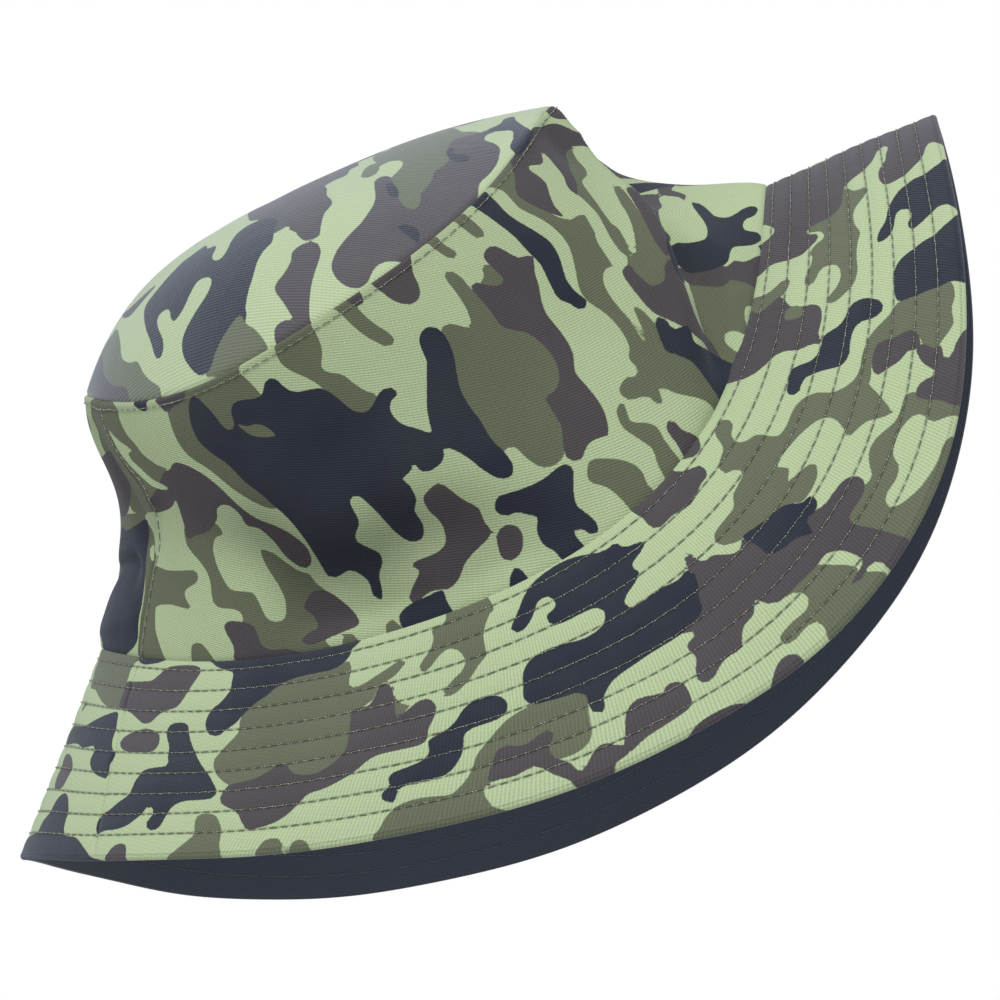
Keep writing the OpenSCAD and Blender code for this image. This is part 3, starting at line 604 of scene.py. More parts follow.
         (65, 32.2), (68, 33), (69, 34.8), (68.3, 36.8), (66, 37.8), (61, 37.7), (60, 40), (60.5, 44),
         (60.4, 52), (55, 52), (55.4, 48.5), (54.3, 46.9), (52.5, 47.5), (50, 47.2), (49.5, 46.5),
         (52, 45.8), (54.5, 45), (54.8, 42), (54.3, 39.5), (52.5, 38), (50.5, 38.2), (46, 37.8),
         (41.5, 37.5), (40, 36), (39.5, 33.5), (37, 35.7), (34.5, 36.3), (32.5, 38.2), (31, 40.2),
         (29.5, 39.7), (27, 40.3), (24.8, 41.9), (23.1, 42.3), (22.4, 41), (23.2, 38.6), (25, 35.8),
         (25.2, 33), (26.2, 31.9), (28, 31.3), (28.3, 30.4), (26.3, 29), (29, 27), (32.5, 25), (34.5, 23),
         (36.8, 21), (37.8, 17.8)],
        [(43.3, -1), (42, 3), (41, 6), (42.5, 7.2), (46.5, 7.1), (50, 8.2), (52.5, 8), (56, 7), (59, 6.8),
         (60.4, 5.5), (60.7, 3.6), (59, 2.8), (57, 1), (56.3, -1)],
        [(61, -1), (62, 1.5), (64.5, 2), (66.5, 1.3), (68.5, -1)],
        [(86.3, 42), (88, 41.3), (89.5, 42.3), (90.6, 44), (91.5, 45.5), (92.3, 43.8), (93.3, 41.8),
         (95.6, 40.2), (97, 40.8), (96.8, 42.5), (96.2, 44.2), (97, 45.7), (95, 46.2), (94, 47),
         (95.5, 48.3), (98, 49.3), (100, 52), (86.8, 52), (86.4, 46)],
        [(90, 32.3), (91.5, 31), (94, 30.6), (96.8, 31.2), (98, 33.3), (98.6, 35.5), (100, 38.3),
         (99, 40.3), (96.8, 41), (95.8, 40.3), (95.9, 38.8), (94.5, 37.6), (93, 36.5), (91.8, 34.5)],
        [(86, -1), (86.3, 2.5), (88.1, 5), (91.3, 6.9), (93.8, 8.4), (94.9, 10.6), (95.6, 13.8),
         (96.9, 16.3), (97, 18.6), (99.7, 17.2), (103.1, 17.4), (106.3, 16.9), (107.5, 15), (107.2, 11.9),
         (107.5, 9.4), (110, 7.5), (110.8, 6.5), (108, 4), (106, 1.5), (106, -1)],
        [(121.3, -1), (121.4, 3), (122, 8), (122.8, 11.5), (124.5, 12.5), (126.5, 15), (128.5, 15),
         (129.5, 12.5), (131.5, 12.5), (132.5, 16), (134, 19.5), (136.5, 21.6), (140, 22.2), (143.5, 22.8),
         (145, 24), (146.5, 26.5), (148.5, 29), (150.5, 31.2), (153.5, 32.5), (156.5, 33.5), (157.3, 35.5),
         (155, 36.3), (152, 35.5), (149, 35), (146.5, 33.3), (144, 32.6), (141.3, 32.7), (139.3, 33.8),
         (138.9, 36), (139.7, 38.5), (141, 41), (143, 43.5), (145.5, 45.5), (148.5, 46.8), (149.5, 48.5),
         (148.8, 52), (178, 52), (172, 40), (176, 28), (168, 16), (172, -1)],
        [(-148, 8, 5), (-152, 18, 5)],
    ],
    "black": [
        [(-107.5, -1), (-106, 1), (-103, 1.6), (-99, 1.2), (-96, 0.6), (-94, -1)],
        [(-134, 19), (-125, 18.5), (-120, 18.2), (-114, 16.3), (-109, 14.7), (-104.3, 13.6), (-102.5, 15),
         (-101, 17.5), (-99.7, 20.5), (-97.8, 23), (-95.2, 24.2), (-95.8, 26), (-94.8, 28.5), (-94.2, 30.3),
         (-96.5, 30), (-100, 29.3), (-103.5, 27.8), (-105.4, 25.8), (-105.8, 23.8), (-107.5, 22.5),
         (-110, 22.9), (-114, 23.3), (-118, 22.7), (-122, 22.7), (-126, 23), (-134, 23)],
        [(-113.5, 37.5), (-112.5, 35.6), (-110.5, 34.7), (-108.5, 35), (-106, 36.3), (-103.5, 38.8),
         (-102, 41.5), (-100.5, 44), (-98.5, 45), (-95, 45.2), (-92.5, 46), (-89, 48), (-86, 50), (-84, 52),
         (-138, 52), (-133, 47), (-124, 45.4), (-117.5, 44.6), (-116, 42), (-114.5, 40)],
        [(-76, 0.5), (-74, 1.5), (-71, 2.3), (-68, 3.2), (-67.2, 5.5), (-66.8, 8), (-68, 10.8), (-70, 12.5),
         (-70.3, 15), (-69.3, 17.8), (-67, 19.4), (-65, 19.5), (-63.8, 18.2), (-61.5, 16.5), (-60.3, 14.6),
         (-58.5, 12.2), (-55.5, 10.3), (-53.7, 8.4), (-51, 7), (-48, 6.4), (-44, 6.2), (-40, 6.1),
         (-37.5, 5.4), (-35.7, 4), (-35, 2), (-35, -1), (-76, -1)],
        [(-81, 17), (-79.8, 16), (-77, 15.8), (-75, 16.5), (-74, 18.3), (-72, 20.8), (-69.5, 23.8),
         (-66.5, 27), (-63, 30.5), (-60.5, 34), (-61, 35.8), (-63, 36.2), (-67, 36.3), (-69, 37.3),
         (-70, 39.2), (-70.1, 42.5), (-71.5, 43.8), (-73, 43.5), (-74, 41.8), (-73.6, 39.3), (-74.5, 37.7),
         (-75.8, 37.6), (-76.8, 39.5), (-78.5, 42), (-81.5, 43.3), (-85, 43.6), (-87.5, 44.3), (-89, 41.5),
         (-89.3, 39.5), (-87, 38.2), (-85, 36), (-83.3, 34), (-83.2, 30), (-82.3, 28), (-79.5, 27.3),
         (-76.3, 27), (-76, 25.8), (-77.3, 24), (-77.8, 22), (-79.5, 20), (-80.8, 18.5)],
        [(-10.5, 23.2), (-8, 23.2), (-6, 24.3), (-5.2, 26.3), (-6, 28.5), (-8, 29.6), (-12, 29.8),
         (-13.8, 30.8), (-14.5, 33), (-15.3, 35.5), (-17, 38), (-19, 39.3), (-22, 39.5), (-25.3, 39.6),
         (-26.3, 41), (-27, 43), (-28.2, 42.8), (-29, 41.3), (-28.5, 39.8), (-27.6, 39), (-27.5, 37),
         (-26.5, 35.8), (-24, 35.2), (-21.5, 34.3), (-20.2, 32.5), (-20.2, 30.3), (-18.8, 29.2),
         (-16.5, 28.3), (-14.5, 26.8), (-13, 24.8)],
        [(1.8, 10), (3, 8.2), (5.5, 6), (8, 3.7), (10.5, 2), (13.5, 1), (17, 0.4), (20.5, 0.3), (24, 1),
         (26.5, 2), (29, 3.3), (31.5, 3.6), (33.2, 3.3), (33.2, 5.5), (35.5, 6.4), (37.5, 6.7), (37, 7.7),
         (34.5, 8.9), (31.5, 9.8), (30.7, 11), (30.6, 12.5), (28, 14), (25.5, 15), (23.8, 16.3),
         (23.7, 17.8), (26, 18.4), (29, 18), (31.5, 18.3), (34.5, 19), (36.5, 18.4), (37.5, 17.5),
         (37.5, 20), (36, 22.5), (34, 25), (32.5, 27.5), (30, 28.5), (26.5, 29.3), (20, 29.5), (13.5, 30.7),
         (11, 32), (9.3, 33.8), (8.5, 36), (7.4, 37.2), (6.4, 36.2), (6.5, 34), (7, 31.8), (6, 30.3),
         (3.5, 30), (1, 29.5), (-1.5, 29), (-2.3, 27), (-1.5, 24.2), (-0.3, 21), (1.8, 18.7), (5, 17.8),
         (8.5, 18), (12, 19), (15, 19), (17.8, 18), (19.5, 15.7), (18.8, 14), (16.5, 13.5), (12.5, 13.5),
         (9.8, 13), (9.3, 11.5), (10.2, 10), (12, 9.5), (13.2, 8), (12.8, 6.3), (11.3, 5.9), (9.5, 6.6),
         (8, 8.2), (6, 10), (4, 11.1), (2.4, 11)],
        [(49, 21.8), (52, 22.4), (55, 23.3), (58, 24), (59.5, 25.3), (60.3, 27.3), (62.6, 28.2), (61.8, 30),
         (59.8, 31), (57.5, 30.5), (55.5, 33.3), (54.5, 32), (53, 30.8), (50.5, 30.2), (48.3, 28.5),
         (48.8, 25.5)],
        [(83.6, 14.8), (84.5, 13.5), (87, 13), (89.8, 12.7), (91, 13.7), (92, 15.8), (93.5, 17.5),
         (96.5, 18.4), (99, 18.4), (100.2, 20), (101.8, 22), (104, 23), (106.5, 23.8), (107.7, 25.8),
         (108.1, 28), (107.3, 30.5), (105.5, 31.8), (103.6, 30.8), (102.9, 28.8), (102, 26.5), (100, 25.2),
         (97, 25), (94, 25.2), (91.8, 23.8), (90.6, 21), (89.8, 18.8), (88.5, 16.8), (86.5, 16.2),
         (84.5, 16.2)],
        [(107, 34.8), (109, 34.2), (112, 33.8), (114.5, 34.3), (116.5, 35.8), (118.3, 38.5), (119.8, 41.5),
         (121, 44.5), (122.5, 47), (124, 49.5), (124.5, 52), (110.5, 52), (109.8, 48), (108.6, 43.5),
         (107.4, 39), (106.5, 36)],
        [(121.9, 30.8), (123, 30.3), (125, 31), (127.5, 32.8), (131, 33.8), (133.5, 35.5), (136, 38),
         (137.5, 41), (138.3, 44.5), (140, 48.5), (141, 52), (127, 52), (128, 49), (127.8, 46.5),
         (126.5, 44.3), (124.8, 42), (123.8, 39.8), (124.5, 38.4), (126, 38.6), (127.8, 39.8), (129.3, 39),
         (129.6, 37), (128.3, 35.5), (125.5, 34.8), (123, 33.2)],
    ],
    "light": [
        [(130.3, -1), (132, 2), (134.5, 3.3), (137, 2), (138.3, -1)],
    ],
    "olive_over": [
        [(103.5, 9), (105.5, 8.2), (107.3, 9.5), (107.2, 12), (105.5, 12.8), (104, 11.8)],
    ],
}
TIP_PRINT = {
    "olive": [
        [(23.2, 29), (24, 25.5), (25.8, 23.5), (27.2, 26), (27.2, 29), (26.2, 31.5), (24.3, 32),
         (23, 30.5)],
        [(26, 13), (30, 12), (40, 14), (47, 18), (50, 22), (44, 23.5), (43.5, 26), (43, 32), (42, 37),
         (40, 39), (38, 42.2), (36, 45.2), (35, 46), (34.4, 48), (33.2, 50.3), (31.2, 51.3), (29, 49.5),
         (28.3, 45.5), (28.5, 41), (28.9, 36.5), (31, 33.5), (32.4, 30.5), (32, 27.5), (29.5, 25.9),
         (27.5, 27), (26.8, 23.5), (26, 20)],
        [(-20.5, 66), (-24, 63), (-26.5, 60.8), (-22.2, 59), (-19.8, 58), (-16, 57), (-12.9, 57),
         (-12.4, 60), (-11, 62.5), (-10.3, 66.8), (-14, 68)],
        [(-57, 12), (-52, 15), (-49, 19), (-45.5, 22), (-44.8, 30), (-45.5, 35), (-44, 39), (-41.5, 42),
         (-41, 46), (-40, 49), (-38.5, 53), (-44, 54), (-54, 44), (-60, 34), (-61, 24)],
        [(38, 18, 8), (36, 6, 7), (42, -6, 5)],
    ],
    "brown": [
        [(9, 16, 12.5), (0, 0, 8)],
        [(-57, 17, 4.5), (-54, 5, 5), (-46, -4, 4)],
        [(-5, 12), (-4.6, 24), (-3.9, 28.4), (-2, 30.5), (0, 36), (0, 41), (3, 41.5), (5.1, 41), (4.8, 43),
         (6, 45), (6.3, 47), (7.5, 49.3), (10.5, 49.5), (11.5, 47), (13.2, 42.5), (15.3, 39.8),
         (15.6, 37.5), (14.8, 34), (15.1, 30), (14.6, 26), (19.5, 25.4), (20.6, 21), (22.5, 19.5), (20, 12),
         (5, 10)],
        [(27.5, 33.8), (29, 35), (29.4, 38), (29.3, 42), (29.2, 45.5), (30, 49), (31.5, 50), (33, 48.5),
         (34, 45), (35, 44), (37, 41.3), (38.2, 38), (40.3, 36), (42.2, 33), (42.5, 27), (44, 22.5),
         (49, 21.5), (51.5, 20), (53, 22), (51, 23.5), (50.2, 26.5), (51.8, 29.3), (52.5, 32), (51.8, 35.5),
         (50.5, 39), (48.5, 42), (45.8, 45), (44, 49.5), (40, 54), (35, 58), (30, 61.2), (25, 63),
         (21, 62.2), (18.5, 63), (16, 65.3), (13.5, 65.9), (11.5, 64.8), (10.2, 62), (10.4, 59), (12.5, 56),
         (16, 53), (20, 50), (23.3, 46), (24.8, 42.5), (25.3, 38), (25.8, 35)],
        [(-3.2, 58), (-2.4, 56.5), (0.5, 55), (2.7, 53), (3.6, 51), (5.5, 50), (8, 50.1), (9.7, 51.7),
         (9.5, 54.5), (7.5, 57.5), (5.5, 60), (3.5, 63), (1.5, 66.5), (0.5, 69), (-1.5, 68.5), (-2.2, 65),
         (-2.6, 61.5)],
        [(-8.2, 69), (-7.2, 65.2), (-5, 64.6), (-2.8, 65.5), (-1.8, 69)],
        [(-62, 14), (-53.5, 14), (-52, 22), (-52.5, 30), (-50.5, 37), (-47, 43), (-50, 48), (-58, 40),
         (-62, 28)],
        [(-43.5, 16), (-41, 20), (-37, 22.5), (-31.5, 24.5), (-32, 25.8), (-37, 26.3), (-40.5, 25.5),
         (-43, 21)],
    ],
    "black": [
        [(-36.4, 46.9), (-35.2, 48.1), (-33.7, 47.5), (-32.9, 45.4), (-33.1, 42.3), (-32.9, 39.8),
         (-31.8, 38.6), (-29.8, 39.2), (-28.7, 40.8), (-29.1, 43.1), (-28.3, 44.8), (-25.2, 44.2),
         (-22.2, 41.9), (-19.8, 40.4), (-17.5, 41.2), (-16.2, 43.1), (-16.8, 45), (-19.1, 46.8),
         (-22.9, 48.1), (-26.8, 49.6), (-28.7, 51.1), (-29.6, 53.8), (-29.1, 56.9), (-27.9, 59.6),
         (-25.2, 60.9), (-22.2, 59.6), (-19.8, 58.7), (-16, 57.7), (-12.9, 57.3), (-12.5, 60),
         (-11.5, 58.8), (-11, 56.9), (-9.1, 54.2), (-6.8, 51.5), (-4.5, 48.1), (-2.2, 45.8), (0.1, 44.5),
         (1, 42.2), (1.6, 39.9), (2.8, 36.8), (1.6, 33.8), (-0.7, 31.5), (-4.5, 30.7), (-7.2, 31.8),
         (-9.1, 34.2), (-10.6, 37.2), (-12.5, 38.8), (-14.3, 37.6), (-14.6, 35.3), (-13.3, 32.6),
         (-13.5, 30.7), (-15.6, 29.2), (-15.8, 26.8), (-16.8, 25.7), (-20, 25.5), (-23, 25.3), (-26, 26.5),
         (-30.6, 28.4), (-34.8, 29.8), (-36, 33), (-36.4, 37.6), (-36.2, 42.2)],
        [(27.8, 38), (28.8, 37.5), (29.6, 40), (29.8, 43), (29, 44.8), (27.9, 43.5), (27.6, 41)],
        [(42.8, 26.5), (43.6, 28), (43.2, 31), (45, 32), (46, 34), (45.3, 35.8), (43.5, 35.5), (42.2, 33.5),
         (41.8, 30)],
        [(26.8, 53.9), (28.5, 54), (30.2, 55.8), (30, 58), (28.8, 60.2), (28, 57.5), (27, 55.5)],
        [(51.2, 20.2), (54, 17), (55, 12.5), (57, 11.5), (57.5, 17), (60, 24.5), (66, 27), (66, 40),
         (55, 34.5), (55.8, 28), (56.2, 24.5), (55.6, 23), (53, 22.3)],
        [(-19, 11, 3.5), (-25, 2, 6), (-23, -9, 4.5)],
    ],
    "light": [],
    "olive_over": [],
}
PRINT_COLOURS = ("olive", "brown", "black", "light", "olive_over")
# The drawn half of the print comes again on the other half: turned (-1) or not (1), and shifted in mm.
# Half a turn is 252 mm of flat wall and 342 mm of flat brim
WALL_COPIES = [(1, 0), (1, 252), (1, 504)]
BRIM_COPIES = [(1, 0), (1, 342), (1, 684)]
TIP_COPIES = [(1, 0), (-1, 0)]


def repeated(shapes, copies):
    """Printed shapes at each of their places on the hat."""
    return [
        [(turn * node[0] + shift, turn * node[1], *node[2:]) for node in shape]
        for turn, shift in copies
        for shape in shapes
    ]


# Meshes

POLE_REACH = 1e-7


def rim(start, end, size, turned=False):
    """Faces that close the cloth between its two sides, along a line of grid points."""
    corners = [start, end, end + size, start + size] if turned else [start, start + size, end + size, end]
    return np.stack(corners, -1)


def sew(name, outer, inner, wrap=False):
    """Closed cloth between two grids of points in mm.

    With wrap the columns close into a ring, and the first row is one point.
    """
    rows, cols = outer.shape[:2]
    index = np.arange(rows * cols).reshape(rows, cols)
    if wrap:
        outer[0] = outer[0].mean(0)
        inner[0] = inner[0].mean(0)
        index = np.concatenate([index, index[:, :1]], 1)
    a, b = index[:-1, :-1], index[:-1, 1:]
    c, d = index[1:, 1:], index[1:, :-1]
    top = np.stack([a, d, c, b], -1).reshape(-1, 4)
    size = rows * cols
    under = top[:, ::-1] + size
    rims = [rim(index[-1, :-1], index[-1, 1:], size)]
    if not wrap:
        rims.append(rim(index[0, :-1], index[0, 1:], size, turned=True))
        rims.append(rim(index[:-1, 0], index[1:, 0], size))
        rims.append(rim(index[:-1, -1], index[1:, -1], size, turned=True))
    quads = np.concatenate([top, under] + rims)
    points = np.concatenate([outer.reshape(-1, 3), inner.reshape(-1, 3)]) * MM
    mesh = bpy.data.meshes.new(name)
    mesh.from_pydata(points.tolist(), [], quads.tolist())
    mesh.polygons.foreach_set("use_smooth", np.ones(len(quads), bool))
    return placed(name, mesh)


def placed(name, data):
    """New object in the scene."""
    made = bpy.data.objects.new(name, data)
    bpy.context.scene.collection.objects.link(made)
    return made


def join_pole(piece):
    """Merges the points of the first row, where a round piece closes at its middle."""
    work = bmesh.new()
    work.from_mesh(piece.data)
    bmesh.ops.remove_doubles(work, verts=work.verts, dist=POLE_REACH)
    bmesh.ops.recalc_face_normals(work, faces=work.faces)
    work.to_mesh(piece.data)
    work.free()


def keep_values(piece, name, values):
    """Stores one number per grid point, for the outer and the inner side alike."""
    store = piece.data.attributes.new(name, "FLOAT", "POINT")
    store.data.foreach_set("value", np.concatenate([values.ravel(), values.ravel()]).astype(np.float32))


# Grids of angle and share, one for each piece of cloth, with lengths and steps in mm

CLOTH_STEP = 1.15
LINING_STEP = 2.2
HALF_WALL = 250
HALF_BRIM = 345
TIP_RADIUS = 66
TIP_ROUND = 420
SEAM_LAP = 0.7
END_STEPS = [0, 0.15, 0.4, 0.8, 1.3]


def fine_ends(length, step):
    """Shares along a piece, closer together at both ends where the cloth turns in."""
    ends = np.array(END_STEPS) / length
    middle = np.linspace(ends[-1], 1 - ends[-1], round(length / step))
    return np.concatenate([ends[:-1], middle, 1 - ends[:-1][::-1]])


def half_grid(shares, columns, left_seam, back):
    """Angles and shares of the front or back half of the hat, between its two side seams."""
    left = left_seam(shares)[:, None]
    right = right_seam(shares)[:, None]
    start, end = (right, left + FULL_TURN) if back else (left, right)
    angle = start + (end - start) * columns[None, :]
    return angle, np.broadcast_to(shares[:, None], angle.shape).copy()


def wall_grid(step, back):
    """From the tip seam to a little past the head seam."""
    shares = fine_ends(CROWN_SLANT, step) * (1 + SEAM_LAP / CROWN_SLANT)
    return half_grid(shares, fine_ends(HALF_WALL, step), left_wall_seam, back)


def brim_grid(step, back):
    """From a little inside the head seam to the brim's edge."""
    shares = 1 - fine_ends(BRIM_SLANT, step)[::-1] * (1 + SEAM_LAP / BRIM_SLANT)
    return half_grid(shares, fine_ends(HALF_BRIM, step), left_brim_seam, back)


def tip_grid(step):
    """From the middle of the tip to its seam, all round."""
    shares = np.concatenate([[0.0], fine_ends(TIP_RADIUS, step)[len(END_STEPS) - 1:]])
    columns = np.linspace(0, FULL_TURN, round(TIP_ROUND / step), endpoint=False)
    return np.meshgrid(columns, shares)


def part_of(name):
    """The part of the hat that a piece belongs to: tip, panel or brim."""
    return name.split("_")[-1]


def piece_grid(name, step):
    if name == "tip":
        return tip_grid(step)
    grid = brim_grid if part_of(name) == "brim" else wall_grid
    return grid(step, name.startswith("back"))


def edge_gaps(angle, share, length):
    """Distance in mm of each grid point from the upper end, the lower end and the nearer side seam."""
    turn = np.minimum(angle - angle[:, :1], angle[:, -1:] - angle)
    return share * length, (1 - share) * length, turn * WALL_TURN_MM


def wall_flat_mm(angle, share):
    return np.stack([(angle - FRONT) * WALL_TURN_MM, share * CROWN_SLANT], -1)


def brim_flat_mm(angle, share):
    return np.stack([(angle - FRONT) * BRIM_TURN_MM, share * BRIM_SLANT], -1)


def tip_flat_mm(angle, share):
    return np.stack([share * TIP_SEAM.half_w * cos(angle), -share * TIP_SEAM.half_d * sin(angle)], -1)


# Outer cloth: how deep it dips at each seam, how it swells beside one, and how far it may go, in mm

DIP_REACH = 0.9
TIP_DIP = 0.5
HEAD_DIP = 0.25
WALL_SIDE_DIP = 0.45
BRIM_SIDE_DIP = 0.4
WELT = {"rise": 0.35, "from_seam": 1.1, "spread": 0.8}
WALL_LIFTS = (-0.55, 1)
BRIM_LIFTS = (-0.5, 1)
# Quilting of the brim: swell and pull in mm, where it starts in rows, and how wide it fades at the edge in mm
QUILT_SWELL = 0.26
QUILT_PULL = 0.16
QUILT_START = -0.45
QUILT_FADE = 2
# Turns in degrees of the cloth round the brim's edge, and the share of the slant that each takes up
OUTER_EDGE_TURNS = (20, 40, 60, 80, 96)
LINING_EDGE_TURNS = (165, 145, 125, 104)
EDGE_STEP = 0.006
# Share of the slant over which the way the cloth goes at the edge is read
LOOK_BACK = 0.02
# Rows of the wall would be this far apart in mm, so it only has a soft painted shade from the tip stitching
# down
WALL_ROW_PITCH = 1000
# A place between two rows, for cloth that has none
NO_ROW = 0.5
# Directions across the ribs of the twill and along them, on each piece laid flat
RIBS = {
    "panel": ((-0.40, 0.92), (0.92, 0.40)),
    "brim": ((0.97, 0.25), (-0.25, 0.97)),
    "tip": ((-0.5, 0.87), (0.87, 0.5)),
}
LINING_RIBS = ((0.3, 0.95), (0.95, -0.3))


def turned_in(gap, depth):
    """How far a piece dips where it turns into a seam, gap mm away."""
    return -depth * np.clip(1 - gap / DIP_REACH, 0, 1) ** 2


def weave_values(piece, flat, ribs):
    """Millimetres across the ribs of the twill and along them."""
    for name, way in zip(("across_ribs", "along_ribs"), ribs):
        keep_values(piece, name, flat @ np.array(way))


def cloth_values(piece, flat, drawing, copies, ribs, row_turns, soft_shade):
    """Print, weave, stitch rows and painted shade of an outer piece."""
    for colour in PRINT_COLOURS:
        keep_values(piece, "gap_" + colour, print_gap(flat, repeated(drawing[colour], copies)))
    weave_values(piece, flat, ribs)
    keep_values(piece, "row_turns", row_turns)
    keep_values(piece, "soft_shade", soft_shade)


def outer_wall(name, grid):
    angle, share = grid
    from_tip, from_head, from_side = edge_gaps(angle, share, CROWN_SLANT)
    welt = WELT["rise"] * np.exp(-(((from_tip - WELT["from_seam"]) / WELT["spread"]) ** 2))
    lift = turned_in(from_tip, TIP_DIP) + turned_in(from_head, HEAD_DIP) + turned_in(from_side, WALL_SIDE_DIP)
    lift = np.clip(lift + welt, *WALL_LIFTS)
    piece = sew(name, layer(wall_face, angle, share, lift), layer(wall_face, angle, share, -OUTER_T))
    row_turns = (share - TIP_ROW) * CROWN_SLANT / WALL_ROW_PITCH
    # Painted shade: how much darker the cloth's colour is made low on the front of the wall
    shade = soft_lines(PAINTED_SHADES, angle, share)
    cloth_values(piece, wall_flat_mm(angle, share), WALL_PRINT, WALL_COPIES, RIBS["panel"], row_turns, shade)
    return piece


def row_position(share):
    """Counts the stitch rows of the brim: a whole number on each row."""
    return (share - HEAD_ROW) / ROW_STEP


def quilting(share):
    """Cloth swells between two rows of stitches and is pulled down at each."""
    position = row_position(share)
    between = np.abs(np.sin(np.pi * position))
    return np.where(position > QUILT_START, QUILT_SWELL * between - QUILT_PULL, 0)


def wrapped_edge(upper, lower, angle, share, turns, thickness):
    """Carries a brim piece on round the edge of the brim, over the given turns from its upper side."""
    out = square_out(brim_face, angle[-1:], share[-1:])
    edge = brim_face(angle[-1:], share[-1:])
    ahead = edge - brim_face(angle[-1:], share[-1:] - LOOK_BACK)
    ahead = ahead / np.linalg.norm(ahead, axis=-1, keepdims=True)
    radius = BRIM_T / 2
    middle = edge - radius * out
    from_above = turns[0] < QUARTER_TURN
    for turn in turns:
        way = cos(turn) * out + sin(turn) * ahead
        outside = middle + radius * way
        inside = middle + (radius - thickness) * way
        upper = np.concatenate([upper, outside if from_above else inside])
        lower = np.concatenate([lower, inside if from_above else outside])
        angle = np.concatenate([angle, angle[-1:]])
        share = np.concatenate([share, share[-1:] + EDGE_STEP])
    return upper, lower, angle, share


def outer_brim(name, grid):
    angle, share = grid
    from_head, from_edge, from_side = edge_gaps(angle, share, BRIM_SLANT)
    lift = quilting(share) * np.clip(from_edge / QUILT_FADE, 0, 1)
    lift = np.clip(lift + turned_in(from_head, HEAD_DIP) + turned_in(from_side, BRIM_SIDE_DIP), *BRIM_LIFTS)
    outer = layer(brim_face, angle, share, lift)
    inner = layer(brim_face, angle, share, -OUTER_T)
    outer, inner, angle, share = wrapped_edge(outer, inner, angle, share, OUTER_EDGE_TURNS, OUTER_T)
    piece = sew(name, outer, inner)
    flat = brim_flat_mm(angle, share)
    cloth_values(piece, flat, BRIM_PRINT, BRIM_COPIES, RIBS["brim"], row_position(share), 0 * share)
    return piece


def outer_tip(name, grid):
    angle, share = grid
    lift = turned_in((1 - share) * TIP_SEAM.half_w, TIP_DIP)
    piece = sew(name, layer(tip_face, angle, share, lift), layer(tip_face, angle, share, -OUTER_T), wrap=True)
    flat = tip_flat_mm(angle, share)
    cloth_values(piece, flat, TIP_PRINT, TIP_COPIES, RIBS["tip"], NO_ROW + 0 * share, 0 * share)
    join_pole(piece)
    return piece


# Lining and stiffener: rise of the wall lining behind the tip seam in mm, and reach of the others as shares

LINING_RISE = 0.6
TIP_LINING_REACH = 0.99
STIFF_START = 0.05
STIFF_REACH = 0.9
# Face, flat lengths and depth under the face in mm
LININGS = {
    "tip": (tip_face, tip_flat_mm, LINING_TOP),
    "panel": (wall_face, wall_flat_mm, LINING_TOP),
    "brim": (brim_face, brim_flat_mm, BRIM_LINING_TOP),
}


def lining_piece(name):
    part = part_of(name)
    face, flat, top = LININGS[part]
    angle, share = piece_grid(name, LINING_STEP)
    if part == "tip":
        share = share * TIP_LINING_REACH
    if part == "panel":
        share = share - LINING_RISE / CROWN_SLANT
    upper = layer(face, angle, share, -top)
    lower = layer(face, angle, share, -top - LINING_T)
    if part == "brim":
        upper, lower, angle, share = wrapped_edge(upper, lower, angle, share, LINING_EDGE_TURNS, LINING_T)
    piece = sew(name + "_lining", upper, lower, wrap=(part == "tip"))
    weave_values(piece, flat(angle, share), LINING_RIBS)
    keep_values(piece, "row_turns", row_position(share) if part == "brim" else NO_ROW + 0 * share)
    if part == "tip":
        join_pole(piece)
    return piece


def stiffener(side):
    angle, share = piece_grid(side + "_brim", LINING_STEP)
    share = STIFF_START + STIFF_REACH * share
    upper = layer(brim_face, angle, share, -LINING_TOP)
    lower = layer(brim_face, angle, share, -LINING_TOP - STIFF_T)
    return sew(side + "_stiff_ply", upper, lower)


# Shaders

NOISE = {"Detail": 3.0, "Roughness": 0.55}


